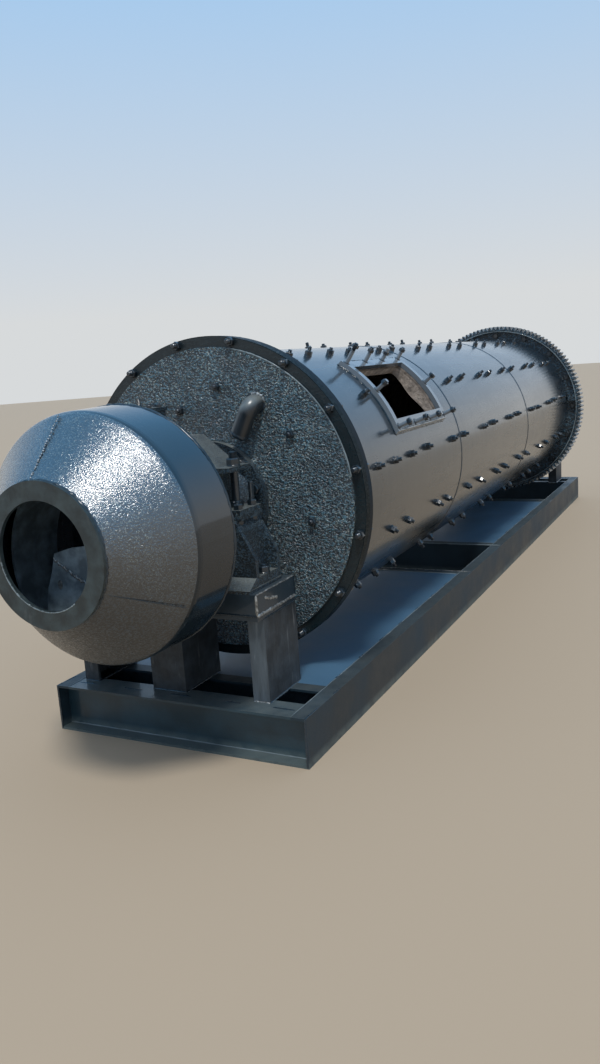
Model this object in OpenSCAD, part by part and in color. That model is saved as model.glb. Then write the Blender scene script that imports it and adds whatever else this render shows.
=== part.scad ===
// Ball mill with a drum feeder, on a skid of rolled channels.
// Millimetres, +Z up, +Y along the mill axis from the feed end to the discharge end.
// Inside the modules y = 0 is the outer face of the feed head's rim and x = 0 is the mill axis.

/* [Drum] */
// outer diameter of the shell plate
drum_d = 1500; // [1400:10:1600]
// thickness of the shell plate
shell_wall = 20; // [14:1:28]
// mean thickness of the wave liner
liner_wall = 62; // [50:1:75]
// height of the liner's waves above and below the mean
liner_wave = 14; // [8:1:18]
// rows of liner bolts, one wave of the liner to each
liner_rows = 12; // [10:1:16]
// angle of the first row of liner bolts
row_angle = 9.5; // [5:0.5:14]
// length of the first shell course, from the back of the head rim
course_feed_l = 1839; // [1750:10:1950]
// length of the middle shell course
course_middle_l = 2049; // [1950:10:2150]
// length of the last shell course, up to the discharge head rim
course_discharge_l = 2072; // [1980:10:2170]

/* [Heads] */
// how far the flanges stand out from the shell
flange_rise = 80; // [72:1:90]
// thickness of each shell flange
flange_t = 40; // [32:1:50]
// thickness of the rim of each head
head_rim_t = 45; // [38:1:55]
// diameter of the raised disc of each head
head_disc_d = 1552; // [1500:4:1590]
// how far the raised disc stands out of the rim
head_raise = 12; // [8:1:20]
// diameter of the lifting horn on the feed head
horn_d = 94; // [84:2:96]
// distance from the head to the middle of the horn's arm
horn_out = 51; // [51:1:52]
// bend radius of the horn
horn_bend_r = 50; // [50:1:51]
// length of the horn's straight arm
horn_arm = 126; // [110:2:140]

/* [Manhole] */
// start of the manhole, measured from the back of the feed head rim
manhole_start = 755; // [700:5:800]
// length of the manhole along the shell
manhole_l = 780; // [700:5:850]
// width of the manhole across the shell
manhole_w = 382; // [350:2:410]
// angle of the middle of the manhole above the horizontal
manhole_angle = 39; // [35:0.5:43]
// width of the raised bars beside the manhole
manhole_bar = 66; // [50:1:75]
// width of the raised bars at the manhole's two ends
manhole_end_bar = 46; // [38:1:60]
// height of the raised bars above the shell
manhole_rise = 28; // [20:1:35]
// diameter of the manhole studs
stud_d = 24; // [20:1:30]
// how far the manhole studs stand out from the shell
stud_rise = 108; // [90:1:125]

/* [Girth gear] */
// number of teeth
teeth = 126; // [118:2:134]
// tooth module
tooth_module = 14; // [14:0.1:14.6]
// width of the toothed rim
gear_face = 160; // [140:2:180]
// thickness of the rim under the teeth
gear_rim = 24; // [20:0.5:25]
// thickness of the bolted web
gear_web = 35; // [28:1:40]
// width of the clamping lugs at the joint of the two halves
gear_lug_w = 34; // [26:1:44]

/* [Feeder] */
// outer diameter of the flat mouth ring
mouth_d = 600; // [560:5:640]
// diameter of the feed hole
mouth_hole_d = 444; // [400:4:470]
// thickness of the mouth ring
mouth_t = 18; // [12:1:24]
// length of the front cone
cone_l = 254; // [230:2:280]
// diameter at the ridge between the cone and the band
ridge_d = 1084; // [1060:4:1088]
// how far the rounding of the ridge reaches along the cone and the band
ridge_round = 30; // [20:1:40]
// length of the band
band_l = 268; // [240:2:290]
// diameter at the rear edge of the band
band_d = 1094; // [1090:2:1120]
// length of the hidden rear cone
rear_cone_l = 80; // [70:1:100]
// plate thickness of the feeder
feeder_wall = 12; // [10:1:16]
// length of the feeder's hub ring
hub_l = 60; // [50:1:70]
// width of the feeder's hub ring around the trunnion
hub_ring = 60; // [50:1:75]
// free space between the feeder's hub and the feed bearing
feeder_gap = 210; // [190:1:230]

/* [Trunnions and bearings] */
// trunnion diameter
trunnion_d = 400; // [390:2:410]
// diameter of the way through each trunnion
trunnion_bore = 300; // [280:2:310]
// diameter of the trunnion's bolting flange
trunnion_flange_d = 620; // [580:4:660]
// thickness of the trunnion's bolting flange
trunnion_flange_t = 40; // [32:1:48]
// how far the trunnion widens towards its flange
trunnion_taper = 40; // [20:1:60]
// length over which the trunnion widens towards its flange
trunnion_taper_l = 60; // [40:1:80]
// radial running clearance between each trunnion and its bush
running_gap = 0.05; // [0.03:0.01:0.08]
// thickness of the bearing bush
bush_wall = 40; // [36:1:46]
// length of the bearing bush
bush_l = 240; // [236:1:252]
// length of each bearing housing
bearing_l = 230; // [216:2:234]
// length of the bearing cap and of the split flanges
cap_l = 200; // [184:2:210]
// half width of the cap between its ears
cap_half_w = 262; // [258:1:270]
// half width of the flat top of the cap
cap_top_half = 85; // [75:1:95]
// height of the flat top of the cap above the mill axis
cap_top = 362; // [350:1:374]
// thickness of each split flange of the housing
split_t = 25; // [20:1:30]
// half width of the split flanges
split_half_w = 375; // [367:1:385]
// centre of the feed bearing, in front of the head rim
feed_bearing_back = 305; // [300:1:315]
// centre of the discharge bearing, behind the discharge head's raised disc
discharge_bearing_out = 405; // [380:2:430]
// length of discharge trunnion beyond its bearing
trunnion_tail = 130; // [110:2:150]
// half width of the bearing base plate
base_half_w = 448; // [440:1:460]
// thickness of the bearing base plate
base_t = 15; // [12:1:20]
// reach of the base plate from the bearing's centre, away from the mill
base_out = 195; // [186:1:195]
// reach of the base plate from the bearing's centre, towards the mill
base_in = 116; // [116:1:130]
// height of the housing's straight foot
foot_h = 128; // [110:2:150]
// thickness of the foot under the foot bolts
foot_pad = 42; // [34:1:50]
// length of the slope from the foot down to the front of the base plate
foot_slope = 70; // [50:1:70]
// thickness of the two webs that hold the foot
foot_web = 25; // [18:1:30]
// half width of the housing between its webs
waist_half_w = 378; // [368:1:384]
// distance from the bearing base plate's underside to the mill axis
bearing_rise = 343; // [338:1:350]
// height of the cap ears' underside above the mill axis
ear_low = 198; // [185:1:206]
// thickness of the cap ears
ear_t = 22; // [18:1:28]
// half width of the cap over the ears
ear_half_w = 333; // [325:1:342]
// width of the oil box on the cap
oil_box_w = 150; // [130:2:165]
// length of the oil box on the cap
oil_box_l = 132; // [120:2:150]
// height of the top of the oil box above the mill axis
oil_box_top = 488; // [470:2:500]
// sideways offset of the oil box from the mill axis
oil_box_shift = -176; // [-182:1:-165]
// thickness of the oil box's lid, and how far it overhangs
oil_lid = 16; // [10:1:20]

/* [Skid] */
// height of the skid's channels
channel_h = 240; // [230:2:250]
// flange width of the skid's channels
channel_b = 78; // [74:1:82]
// web thickness of the skid's channels
channel_web = 7; // [6:0.5:9]
// flange thickness of the skid's channels
channel_flange = 12; // [10:0.5:14]
// overall width of the skid
skid_w = 1440; // [1400:10:1480]
// skid length in front of the feed bearing's centre
skid_front = 257; // [250:1:268]
// free height between the studs and the floor plates as the drum turns
stud_gap = 22; // [15:1:30]
// thickness of the floor plates
floor_t = 8; // [6:1:10]
// centre of the pit behind the first floor plate, behind the feed head rim
pit_middle = 2565; // [2500:5:2620]
// length of the pit
pit_l = 870; // [820:5:920]
// free length of the skid in front of the girth gear
gear_pit_front = 689; // [640:5:740]
// distance of the inner pedestal channel's edge from the bearing's centre
inner_channel_at = 133; // [126:1:140]

/* [Pedestals] */
// spacing of the three posts across the skid
post_spread = 550; // [540:2:560]
// height of the channel that the outer posts are cut from, which is their depth
post_d = 320; // [310:2:330]
// flange width of the outer posts
post_b = 88; // [84:1:92]
// web thickness of the posts
post_web = 8; // [6:0.5:10]
// flange thickness of the posts
post_flange = 14; // [11:0.5:16]
// width of the middle box post
middle_post_w = 198; // [180:2:210]
// sideways offset of the middle post from the middle of the other two
middle_post_shift = -19; // [-24:1:-12]
// sideways offset of the feed pedestal's posts from the axis
pedestal_shift = -72; // [-80:1:-64]
// reach of the pedestals from the bearing's centre, away from the mill
pedestal_far = 195; // [195:1:205]
// reach of the pedestals from the bearing's centre, towards the mill
pedestal_near = 180; // [176:1:184]
// thickness of the plate on top of the posts
post_plate_t = 25; // [18:1:30]
// height of the small channels under the bearing
small_h = 100; // [96:1:106]
// flange width of the small channels
small_b = 48; // [44:1:52]
// web thickness of the small channels
small_web = 5.5; // [5:0.5:7]
// flange thickness of the small channels
small_flange = 8.5; // [7:0.5:10]

/* [Hidden] */
drum_r = drum_d / 2;
flange_r = drum_r + flange_rise;
head_disc_r = head_disc_d / 2;
liner_r = drum_r - shell_wall;
axis_h = channel_h + drum_r + stud_rise + stud_gap;
weld_feed_y = head_rim_t + course_feed_l;
weld_middle_y = weld_feed_y + course_middle_l;
rim_back_y = weld_middle_y + course_discharge_l;
drum_end_y = rim_back_y + head_rim_t + head_raise;
gear_bolt_y = rim_back_y - flange_t;
gear_web_y = gear_bolt_y - gear_web;
gear_front_y = gear_web_y + gear_web / 2 - gear_face / 2;
gear_back_y = gear_front_y + gear_face;
pitch_r = teeth * tooth_module / 2;
gear_tip_r = pitch_r + tooth_module;
gear_root_r = pitch_r - 1.25 * tooth_module;
gear_inner_r = gear_root_r - gear_rim;
tooth_pitch = 360 / teeth;
split_angle = 2.5 * tooth_pitch;
manhole_y = head_rim_t + manhole_start;
manhole_end_y = manhole_y + manhole_l;
feed_bearing_y = -feed_bearing_back;
discharge_bearing_y = drum_end_y + discharge_bearing_out;
trunnion_r = trunnion_d / 2;
bore_r = trunnion_bore / 2;
bush_bore_r = trunnion_r + running_gap;
bush_r = bush_bore_r + bush_wall;
hub_back_y = feed_bearing_y - bush_l / 2 - feeder_gap;
hub_front_y = hub_back_y - hub_l;
hub_r = trunnion_r + hub_ring;
band_back_y = hub_back_y - hub_l / 2 - rear_cone_l;
ridge_y = band_back_y - band_l;
mouth_back_y = ridge_y - cone_l;
mouth_y = mouth_back_y - mouth_t;
skid_front_y = feed_bearing_y - skid_front;
skid_end_y = discharge_bearing_y + skid_front;
side_x = skid_w / 2;
inner_x = side_x - channel_b;
post_h = axis_h - bearing_rise - small_h - post_plate_t - channel_h;
plate_z = channel_h + post_h;
small_z = plate_z + post_plate_t;
base_z = small_z + small_h;
base_top_z = base_z + base_t;
middle_y = (mouth_y + skid_end_y) / 2;
cone_a = atan((ridge_d - mouth_d) / 2 / cone_l);
band_a = atan((band_d - ridge_d) / 2 / band_l);
ridge_in = ridge_d / 2 - feeder_wall;
ridge_seam_y = ridge_y - ridge_round / 4 * (cos(cone_a) - cos(band_a));
fine = 96;
coarse = 72;

// point on the rounded ridge of the feeder as radius and y: 0 on the cone, 1 on the band
function ridge_point(t) = [
    ridge_d / 2 - ridge_round * (pow(1 - t, 2) * sin(cone_a) - pow(t, 2) * sin(band_a)),
    ridge_y - ridge_round * (pow(1 - t, 2) * cos(cone_a) - pow(t, 2) * cos(band_a))
];

// moves the mill from the feed head's rim to the middle of the floor outline
module placed() {
    translate([0, -middle_y, 0]) children();
}

// turns a drawing in x and z into a solid between two places along the mill
module along(y0, y1) {
    translate([0, y1, 0])
        rotate([90, 0, 0])
            linear_extrude(height = y1 - y0)
                children();
}

// revolves a drawing in radius and y about the mill axis
module turned(facets = 96) {
    translate([0, 0, axis_h])
        rotate([-90, 0, 0])
            rotate_extrude($fn = facets)
                children();
}

// cylinder on the mill axis
module round_bar(r, y0, y1, facets = 96) {
    translate([0, y0, axis_h])
        rotate([-90, 0, 0])
            cylinder(h = y1 - y0, r = r, $fn = facets);
}

// ring on the mill axis
module ring(r_out, r_in, y0, y1, facets = 96) {
    difference() {
        round_bar(r_out, y0, y1, facets);
        round_bar(r_in, y0 - 1, y1 + 1, facets);
    }
}

// puts its children at an angle about the mill axis, with local x pointing outwards
module at_angle(a) {
    translate([0, 0, axis_h])
        rotate([0, -a, 0])
            children();
}

// section of a channel, web on the left, flanges to the right
module channel_section(h, b, web, flange) {
    difference() {
        square([b, h]);
        translate([web, flange]) square([b, h - 2 * flange]);
    }
}

// skid rail on the right, web outwards
module right_rail() {
    along(skid_front_y, skid_end_y)
        translate([side_x, 0])
            mirror([1, 0])
                channel_section(channel_h, channel_b, channel_web, channel_flange);
}

// cross channel between the rails, its web reaching into them; back = 1 turns the flanges to +y
module cross_channel(web_y, back) {
    s = back ? 1 : -1;
    web_x = side_x - channel_web;
    translate([0, web_y, 0])
        scale([1, s, 1]) {
            translate([-inner_x, 0, 0])
                cube([2 * inner_x, channel_b, channel_flange]);
            translate([-inner_x, 0, channel_h - channel_flange])
                cube([2 * inner_x, channel_b, channel_flange]);
            translate([-web_x, 0, channel_flange])
                cube([2 * web_x, channel_web, channel_h - 2 * channel_flange]);
        }
}

// pair of channels back to back
module double_channel(mid_y) {
    cross_channel(mid_y, 1);
    cross_channel(mid_y, 0);
}

module rail_right() {
    color([0.05, 0.055, 0.06]) placed() right_rail();
}

module rail_left() {
    color([0.05, 0.055, 0.06]) placed() mirror([1, 0, 0]) right_rail();
}

module front_channels() {
    color([0.05, 0.055, 0.06]) placed() double_channel(skid_front_y + channel_b);
}

module feed_channel() {
    color([0.05, 0.055, 0.06])
        placed() cross_channel(feed_bearing_y + inner_channel_at, 0);
}

module pit_front_channel() {
    color([0.05, 0.055, 0.06])
        placed() cross_channel(pit_middle - pit_l / 2, 0);
}

module pit_rear_channel() {
    color([0.05, 0.055, 0.06])
        placed() cross_channel(pit_middle + pit_l / 2, 1);
}

module gear_front_channels() {
    color([0.05, 0.055, 0.06])
        placed() double_channel(gear_front_y - gear_pit_front - channel_b);
}

module discharge_channel() {
    color([0.05, 0.055, 0.06])
        placed() cross_channel(discharge_bearing_y - inner_channel_at, 1);
}

module end_channels() {
    color([0.05, 0.055, 0.06]) placed() double_channel(skid_end_y - channel_b);
}

// plate flush with the top of the skid
module floor_plate(y0, y1) {
    translate([-inner_x, y0, channel_h - floor_t])
        cube([2 * inner_x, y1 - y0, floor_t]);
}

module floor_plate_feed() {
    color([0.05, 0.06, 0.07])
        placed() floor_plate(feed_bearing_y + inner_channel_at, pit_middle - pit_l / 2 - channel_b);
}

module floor_plate_middle() {
    color([0.05, 0.06, 0.07])
        placed() floor_plate(pit_middle + pit_l / 2 + channel_b,
            gear_front_y - gear_pit_front - 2 * channel_b);
}

// puts a bearing or a pedestal at the feed end; y = 0 is the bearing's centre, +y towards the mill
module at_feed(across = 0) {
    translate([across, feed_bearing_y, 0]) children();
}

// the same at the discharge end
module at_discharge() {
    translate([0, discharge_bearing_y, 0]) mirror([0, 1, 0]) children();
}

// upright channel, web outwards
module post() {
    translate([post_spread - post_b, pedestal_near - post_d, channel_h])
        difference() {
            cube([post_b, post_d, post_h]);
            translate([-1, post_flange, -1])
                cube([post_b - post_web + 1, post_d - 2 * post_flange, post_h + 2]);
        }
}

// closed box post
module box_post() {
    translate([middle_post_shift - middle_post_w / 2, pedestal_near - post_d, channel_h])
        difference() {
            cube([middle_post_w, post_d, post_h]);
            translate([post_web, post_flange, -1])
                cube([middle_post_w - 2 * post_web, post_d - 2 * post_flange, post_h + 2]);
        }
}

// plate on top of the three posts
module post_plate() {
    translate([-post_spread, -pedestal_far, plate_z])
        cube([2 * post_spread, pedestal_far + pedestal_near, post_plate_t]);
}

// mitred frame of small channels between the post plate and the bearing base, webs outwards
module small_channels() {
    long = 2 * post_spread;
    deep = pedestal_near + pedestal_far;
    translate([-post_spread, -pedestal_far, small_z])
        difference() {
            cube([long, deep, small_h]);
            translate([small_web, small_web, small_flange])
                cube([long - 2 * small_web, deep - 2 * small_web, small_h - 2 * small_flange]);
            translate([small_b, small_b, -1])
                cube([long - 2 * small_b, deep - 2 * small_b, small_h + 2]);
        }
}

module feed_post_right() {
    color([0.09, 0.09, 0.085]) placed() at_feed(pedestal_shift) post();
}

module feed_post_middle() {
    color([0.09, 0.09, 0.085]) placed() at_feed(pedestal_shift) box_post();
}

module feed_post_left() {
    color([0.09, 0.09, 0.085]) placed() at_feed(pedestal_shift) mirror([1, 0, 0]) post();
}

module feed_pedestal_plate() {
    color([0.06, 0.065, 0.07]) placed() at_feed(pedestal_shift) post_plate();
}

module feed_pedestal_channels() {
    color([0.07, 0.075, 0.075]) placed() at_feed(pedestal_shift) small_channels();
}

module discharge_post_right() {
    color([0.09, 0.09, 0.085]) placed() at_discharge() post();
}

module discharge_post_middle() {
    color([0.09, 0.09, 0.085]) placed() at_discharge() box_post();
}

module discharge_post_left() {
    color([0.09, 0.09, 0.085]) placed() at_discharge() mirror([1, 0, 0]) post();
}

module discharge_pedestal_plate() {
    color([0.06, 0.065, 0.07]) placed() at_discharge() post_plate();
}

module discharge_pedestal_channels() {
    color([0.07, 0.075, 0.075]) placed() at_discharge() small_channels();
}

// lower half of a bearing housing, with its base plate
module bearing_base() {
    foot_half = base_half_w - base_t / 4;
    neck_half = split_half_w - split_t;
    pocket_l = bearing_l - 2 * foot_web;
    pocket_w = base_half_w - waist_half_w;
    difference() {
        union() {
            translate([-base_half_w, -base_out, base_z])
                cube([2 * base_half_w, base_out + base_in, base_t]);
            translate([-foot_half, -bearing_l / 2, base_top_z])
                rotate([90, 0, 90])
                    linear_extrude(height = 2 * foot_half)
                        polygon([[-foot_slope, 0], [foot_web, 0], [foot_web, foot_pad], [0, foot_pad]]);
            along(-bearing_l / 2, bearing_l / 2)
                polygon([
                    [-foot_half, base_top_z], [foot_half, base_top_z],
                    [foot_half, base_top_z + foot_h], [neck_half, axis_h - split_t],
                    [-neck_half, axis_h - split_t], [-foot_half, base_top_z + foot_h]
                ]);
            translate([-split_half_w, -cap_l / 2, axis_h - split_t])
                cube([2 * split_half_w, cap_l, split_t]);
        }
        round_bar(bush_r, -bearing_l, bearing_l);
        for (x = [-base_half_w, waist_half_w])
            translate([x, -pocket_l / 2, base_top_z + foot_pad])
                cube([pocket_w, pocket_l, axis_h - split_t - base_top_z - foot_pad]);
    }
}

// upper half of a bearing housing, with ears and an oil box
module bearing_cap() {
    ear_top = ear_low + ear_t;
    box_low = axis_h + ear_low;
    box_top = axis_h + oil_box_top;
    lid_over = oil_lid / 2;
    difference() {
        union() {
            along(-cap_l / 2, cap_l / 2)
                translate([0, axis_h])
                    polygon([
                        [-cap_half_w, 0], [cap_half_w, 0], [cap_half_w, ear_top],
                        [cap_top_half, cap_top], [-cap_top_half, cap_top], [-cap_half_w, ear_top]
                    ]);
            translate([-split_half_w, -cap_l / 2, axis_h])
                cube([2 * split_half_w, cap_l, split_t]);
            translate([-ear_half_w, -cap_l / 2, box_low])
                cube([2 * ear_half_w, cap_l, ear_t]);
            translate([oil_box_shift - oil_box_w / 2, -oil_box_l / 2, box_low])
                cube([oil_box_w, oil_box_l, box_top - box_low]);
            translate([oil_box_shift - oil_box_w / 2 - lid_over, -oil_box_l / 2 - lid_over, box_top])
                cube([oil_box_w + oil_lid, oil_box_l + oil_lid, oil_lid]);
        }
        round_bar(bush_r, -bearing_l, bearing_l);
    }
}

module feed_bearing_base() {
    color([0.05, 0.055, 0.06]) placed() at_feed() bearing_base();
}

module feed_bearing_cap() {
    color([0.05, 0.055, 0.06]) placed() at_feed() bearing_cap();
}

module feed_bearing_bush() {
    color([0.45, 0.38, 0.25])
        placed() ring(bush_r, bush_bore_r, feed_bearing_y - bush_l / 2, feed_bearing_y + bush_l / 2);
}

module discharge_bearing_base() {
    color([0.05, 0.055, 0.06]) placed() at_discharge() bearing_base();
}

module discharge_bearing_cap() {
    color([0.05, 0.055, 0.06]) placed() at_discharge() bearing_cap();
}

module discharge_bearing_bush() {
    color([0.45, 0.38, 0.25])
        placed() ring(bush_r, bush_bore_r,
            discharge_bearing_y - bush_l / 2, discharge_bearing_y + bush_l / 2);
}

module feeder_mouth_ring() {
    color([0.12, 0.13, 0.12]) placed() ring(mouth_d / 2, mouth_hole_d / 2, mouth_y, mouth_back_y);
}

module feeder_front_cone() {
    color([0.07, 0.075, 0.08]) placed()
        turned() polygon([
            [mouth_d / 2 - feeder_wall, mouth_back_y], [mouth_d / 2, mouth_back_y],
            ridge_point(0), ridge_point(0.25), ridge_point(0.5),
            [ridge_in + (ridge_seam_y - ridge_y) * tan(band_a), ridge_seam_y], [ridge_in, ridge_y]
        ]);
}

module feeder_band() {
    color([0.06, 0.065, 0.075]) placed()
        turned() polygon([
            [ridge_in + (ridge_seam_y - ridge_y) * tan(band_a), ridge_seam_y],
            ridge_point(0.5), ridge_point(0.75), ridge_point(1),
            [band_d / 2, band_back_y], [band_d / 2 - feeder_wall, band_back_y]
        ]);
}

module feeder_rear_cone() {
    cone_end_y = band_back_y + rear_cone_l;
    color([0.06, 0.065, 0.075]) placed()
        turned() polygon([
            [band_d / 2 - feeder_wall, band_back_y], [band_d / 2, band_back_y],
            [hub_r, cone_end_y], [hub_r, hub_back_y], [trunnion_r, hub_back_y],
            [trunnion_r, hub_front_y], [hub_r - feeder_wall, hub_front_y],
            [hub_r - feeder_wall, cone_end_y - feeder_wall]
        ]);
}

// free space inside the feeder's band and rear cone
module feeder_inside() {
    cone_end_y = band_back_y + rear_cone_l;
    turned() polygon([
        [0, ridge_y], [ridge_in, ridge_y],
        [band_d / 2 - feeder_wall, band_back_y],
        [hub_r - feeder_wall, cone_end_y - feeder_wall],
        [hub_r - feeder_wall, hub_front_y], [0, hub_front_y]
    ]);
}

// upright partition behind the front cone, open on one side for the feed to pass
module feeder_partition() {
    r = ridge_d / 2;
    edge = [
        [-0.61, -0.78], [-0.503, -0.579], [-0.468, -0.396], [-0.401, -0.24],
        [-0.361, -0.105], [-0.185, -0.052], [-0.055, -0.037], [0.074, 0.018], [0.2, 0.17]
    ];
    color([0.08, 0.085, 0.085]) placed()
        intersection() {
            feeder_inside();
            along(ridge_y, ridge_y + feeder_wall)
                translate([0, axis_h])
                    polygon(concat(
                        r * edge,
                        [for (a = [70 : -14 : -126]) r * 1.08 * [cos(a), sin(a)]]
                    ));
        }
}

// curved wall that lifts the feed from the partition's opening into the trunnion
module feeder_spiral() {
    r_start = ridge_d / 2 - feeder_wall;
    r_end = bore_r + feeder_wall * 5 / 3;
    sweep = 190;
    start = 232;
    n = 24;
    color([0.08, 0.085, 0.085]) placed()
        intersection() {
            feeder_inside();
            along(ridge_y + feeder_wall, hub_front_y)
                translate([0, axis_h])
                    polygon(concat(
                        [for (i = [0 : n]) let (a = start - sweep * i / n,
                            r = r_start + feeder_wall + (r_end - r_start) * i / n) [r * cos(a), r * sin(a)]],
                        [for (i = [n : -1 : 0]) let (a = start - sweep * i / n,
                            r = r_start + (r_end - r_start) * i / n) [r * cos(a), r * sin(a)]]
                    ));
        }
}

module feed_trunnion() {
    face_y = -head_raise;
    color([0.08, 0.085, 0.09]) placed()
        turned() polygon([
            [bore_r, hub_front_y], [trunnion_r, hub_front_y],
            [trunnion_r, face_y - trunnion_flange_t - trunnion_taper_l],
            [trunnion_r + trunnion_taper, face_y - trunnion_flange_t],
            [trunnion_flange_d / 2, face_y - trunnion_flange_t],
            [trunnion_flange_d / 2, face_y], [trunnion_r, face_y],
            [trunnion_r, head_rim_t], [bore_r, head_rim_t]
        ]);
}

module discharge_trunnion() {
    face_y = drum_end_y;
    end_y = discharge_bearing_y + bush_l / 2 + trunnion_tail;
    color([0.08, 0.085, 0.09]) placed()
        turned() polygon([
            [bore_r, rim_back_y], [trunnion_r, rim_back_y], [trunnion_r, face_y],
            [trunnion_flange_d / 2, face_y], [trunnion_flange_d / 2, face_y + trunnion_flange_t],
            [trunnion_r + trunnion_taper, face_y + trunnion_flange_t],
            [trunnion_r, face_y + trunnion_flange_t + trunnion_taper_l],
            [trunnion_r, end_y], [bore_r, end_y]
        ]);
}

module feed_head() {
    color([0.05, 0.055, 0.06]) placed()
        turned() polygon([
            [trunnion_r, -head_raise], [head_disc_r, -head_raise], [head_disc_r, 0],
            [flange_r, 0], [flange_r, head_rim_t], [trunnion_r, head_rim_t]
        ]);
}

module discharge_head() {
    color([0.05, 0.055, 0.06]) placed()
        turned() polygon([
            [trunnion_r, rim_back_y], [flange_r, rim_back_y], [flange_r, rim_back_y + head_rim_t],
            [head_disc_r, rim_back_y + head_rim_t], [head_disc_r, drum_end_y],
            [trunnion_r, drum_end_y]
        ]);
}

// bent round horn on the feed head: a short stub, an elbow and an arm that hangs along the head
module lifting_horn() {
    stub = horn_out - horn_bend_r;
    foot_r = 0.374 * drum_d;
    foot_a = 60.3;
    arm_a = -117.7;
    color([0.06, 0.065, 0.07]) placed()
        translate([foot_r * cos(foot_a), -head_raise, axis_h + foot_r * sin(foot_a)])
            rotate([0, -arm_a, 0])
                rotate([90, 0, 0])
                    union() {
                        cylinder(h = stub + 6, d = horn_d - 4, $fn = 32);
                        translate([horn_bend_r, 0, stub])
                            rotate([90, 0, 180])
                                rotate_extrude(angle = 90, $fn = 48)
                                    translate([horn_bend_r, 0]) circle(d = horn_d, $fn = 32);
                        translate([horn_bend_r - 6, 0, horn_out])
                            rotate([0, 90, 0])
                                cylinder(h = horn_arm + 6, d = horn_d - 4, $fn = 32);
                    }
}

module feed_shell_flange() {
    color([0.05, 0.055, 0.06]) placed() ring(flange_r, drum_r, head_rim_t, head_rim_t + flange_t);
}

module discharge_shell_flange() {
    color([0.05, 0.055, 0.06]) placed() ring(flange_r, drum_r, gear_bolt_y, rim_back_y);
}

// straight-sided hole through the shell for the manhole
module manhole_cut() {
    at_angle(manhole_angle)
        translate([drum_r / 3, manhole_y, -manhole_w / 2])
            cube([drum_r, manhole_l, manhole_w]);
}

module shell_course_feed() {
    color([0.07, 0.085, 0.10]) placed()
        difference() {
            ring(drum_r, liner_r, head_rim_t, weld_feed_y);
            manhole_cut();
        }
}

module shell_course_middle() {
    color([0.07, 0.085, 0.10]) placed() ring(drum_r, liner_r, weld_feed_y, weld_middle_y);
}

module shell_course_discharge() {
    color([0.07, 0.085, 0.10]) placed() ring(drum_r, liner_r, weld_middle_y, rim_back_y);
}

// waved liner inside the shell, one wave to a row of bolts
module wave_liner() {
    n = liner_rows * 8;
    r0 = liner_r - liner_wall;
    color([0.30, 0.17, 0.12]) placed()
        difference() {
            round_bar(liner_r, head_rim_t, rim_back_y);
            along(head_rim_t - 1, rim_back_y + 1)
                translate([0, axis_h])
                    polygon([for (i = [0 : n - 1]) let (a = row_angle + i * 360 / n,
                        r = r0 - liner_wave * cos(liner_rows * (a - row_angle)))
                        [r * cos(a), r * sin(a)]]);
            manhole_cut();
        }
}

// raised bars round the manhole and the studs that stand on them
module manhole_frame() {
    half = manhole_w / 2 + manhole_bar;
    color([0.09, 0.10, 0.11]) placed()
        union() {
            difference() {
                intersection() {
                    ring(drum_r + manhole_rise, drum_r, manhole_y - manhole_end_bar, manhole_end_y + manhole_end_bar);
                    at_angle(manhole_angle)
                        translate([drum_r / 2, manhole_y - manhole_end_bar, -half])
                            cube([drum_r, manhole_l + 2 * manhole_end_bar, 2 * half]);
                }
                manhole_cut();
            }
            for (s = [-1, 1]) {
                for (i = [0 : 3])
                    stud(s * (manhole_w / 2 + manhole_bar / 2),
                        manhole_y + manhole_l * (0.5 + (i - 1.5) * 0.35));
            }
            stud(0, manhole_y - manhole_end_bar / 2);
            stud(0, manhole_end_y + manhole_end_bar / 2);
        }
}

// stud standing on the manhole's bars, at a distance across the manhole's middle
module stud(across, y) {
    a = manhole_angle + asin(across / drum_r);
    difference() {
        at_angle(a)
            translate([drum_r - 5, y, 0])
                rotate([0, 90, 0])
                    cylinder(h = stud_rise + 5, d = stud_d, $fn = 24);
        round_bar(drum_r, y - stud_d, y + stud_d);
    }
}

// one half of the girth gear: toothed rim, bolted web and clamping lugs
module gear_half(turn) {
    n = teeth / 2;
    flank = tan(20);
    half_pitch = 90 / teeth * 0.97;
    tip_half = half_pitch - atan(tooth_module * flank / pitch_r);
    root_half = half_pitch + atan(1.25 * tooth_module * flank / pitch_r);
    lug_out = gear_inner_r;
    lug_in = drum_r + 10;
    translate([0, 0, axis_h]) rotate([0, -split_angle - turn, 0]) translate([0, 0, -axis_h])
        union() {
            difference() {
                along(gear_front_y, gear_back_y)
                    translate([0, axis_h])
                        polygon(concat(
                            [[gear_root_r, 0]],
                            [for (i = [0 : n - 1]) for (k = [0 : 3])
                                let (a = (i + 0.5) * tooth_pitch,
                                    h = k == 0 ? -root_half : k == 1 ? -tip_half : k == 2 ? tip_half : root_half,
                                    r = k == 0 || k == 3 ? gear_root_r : gear_tip_r)
                                [r * cos(a + h), r * sin(a + h)]],
                            [[-gear_root_r, 0]]
                        ));
                round_bar(gear_inner_r, gear_front_y - 1, gear_back_y + 1);
            }
            difference() {
                ring(gear_inner_r + 2, drum_r, gear_web_y, gear_bolt_y);
                translate([-flange_r * 2, gear_web_y - 1, axis_h - 2 * flange_r])
                    cube([4 * flange_r, gear_web + 2, 2 * flange_r]);
            }
            for (s = [0, 1])
                translate([s ? -lug_out - 2 : lug_in, gear_front_y + 6, axis_h])
                    cube([lug_out + 2 - lug_in, gear_web_y - gear_front_y - 6, gear_lug_w]);
        }
}

module gear_half_upper() {
    color([0.05, 0.055, 0.06]) placed() gear_half(0);
}

module gear_half_lower() {
    color([0.05, 0.055, 0.06]) placed() gear_half(180);
}

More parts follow.
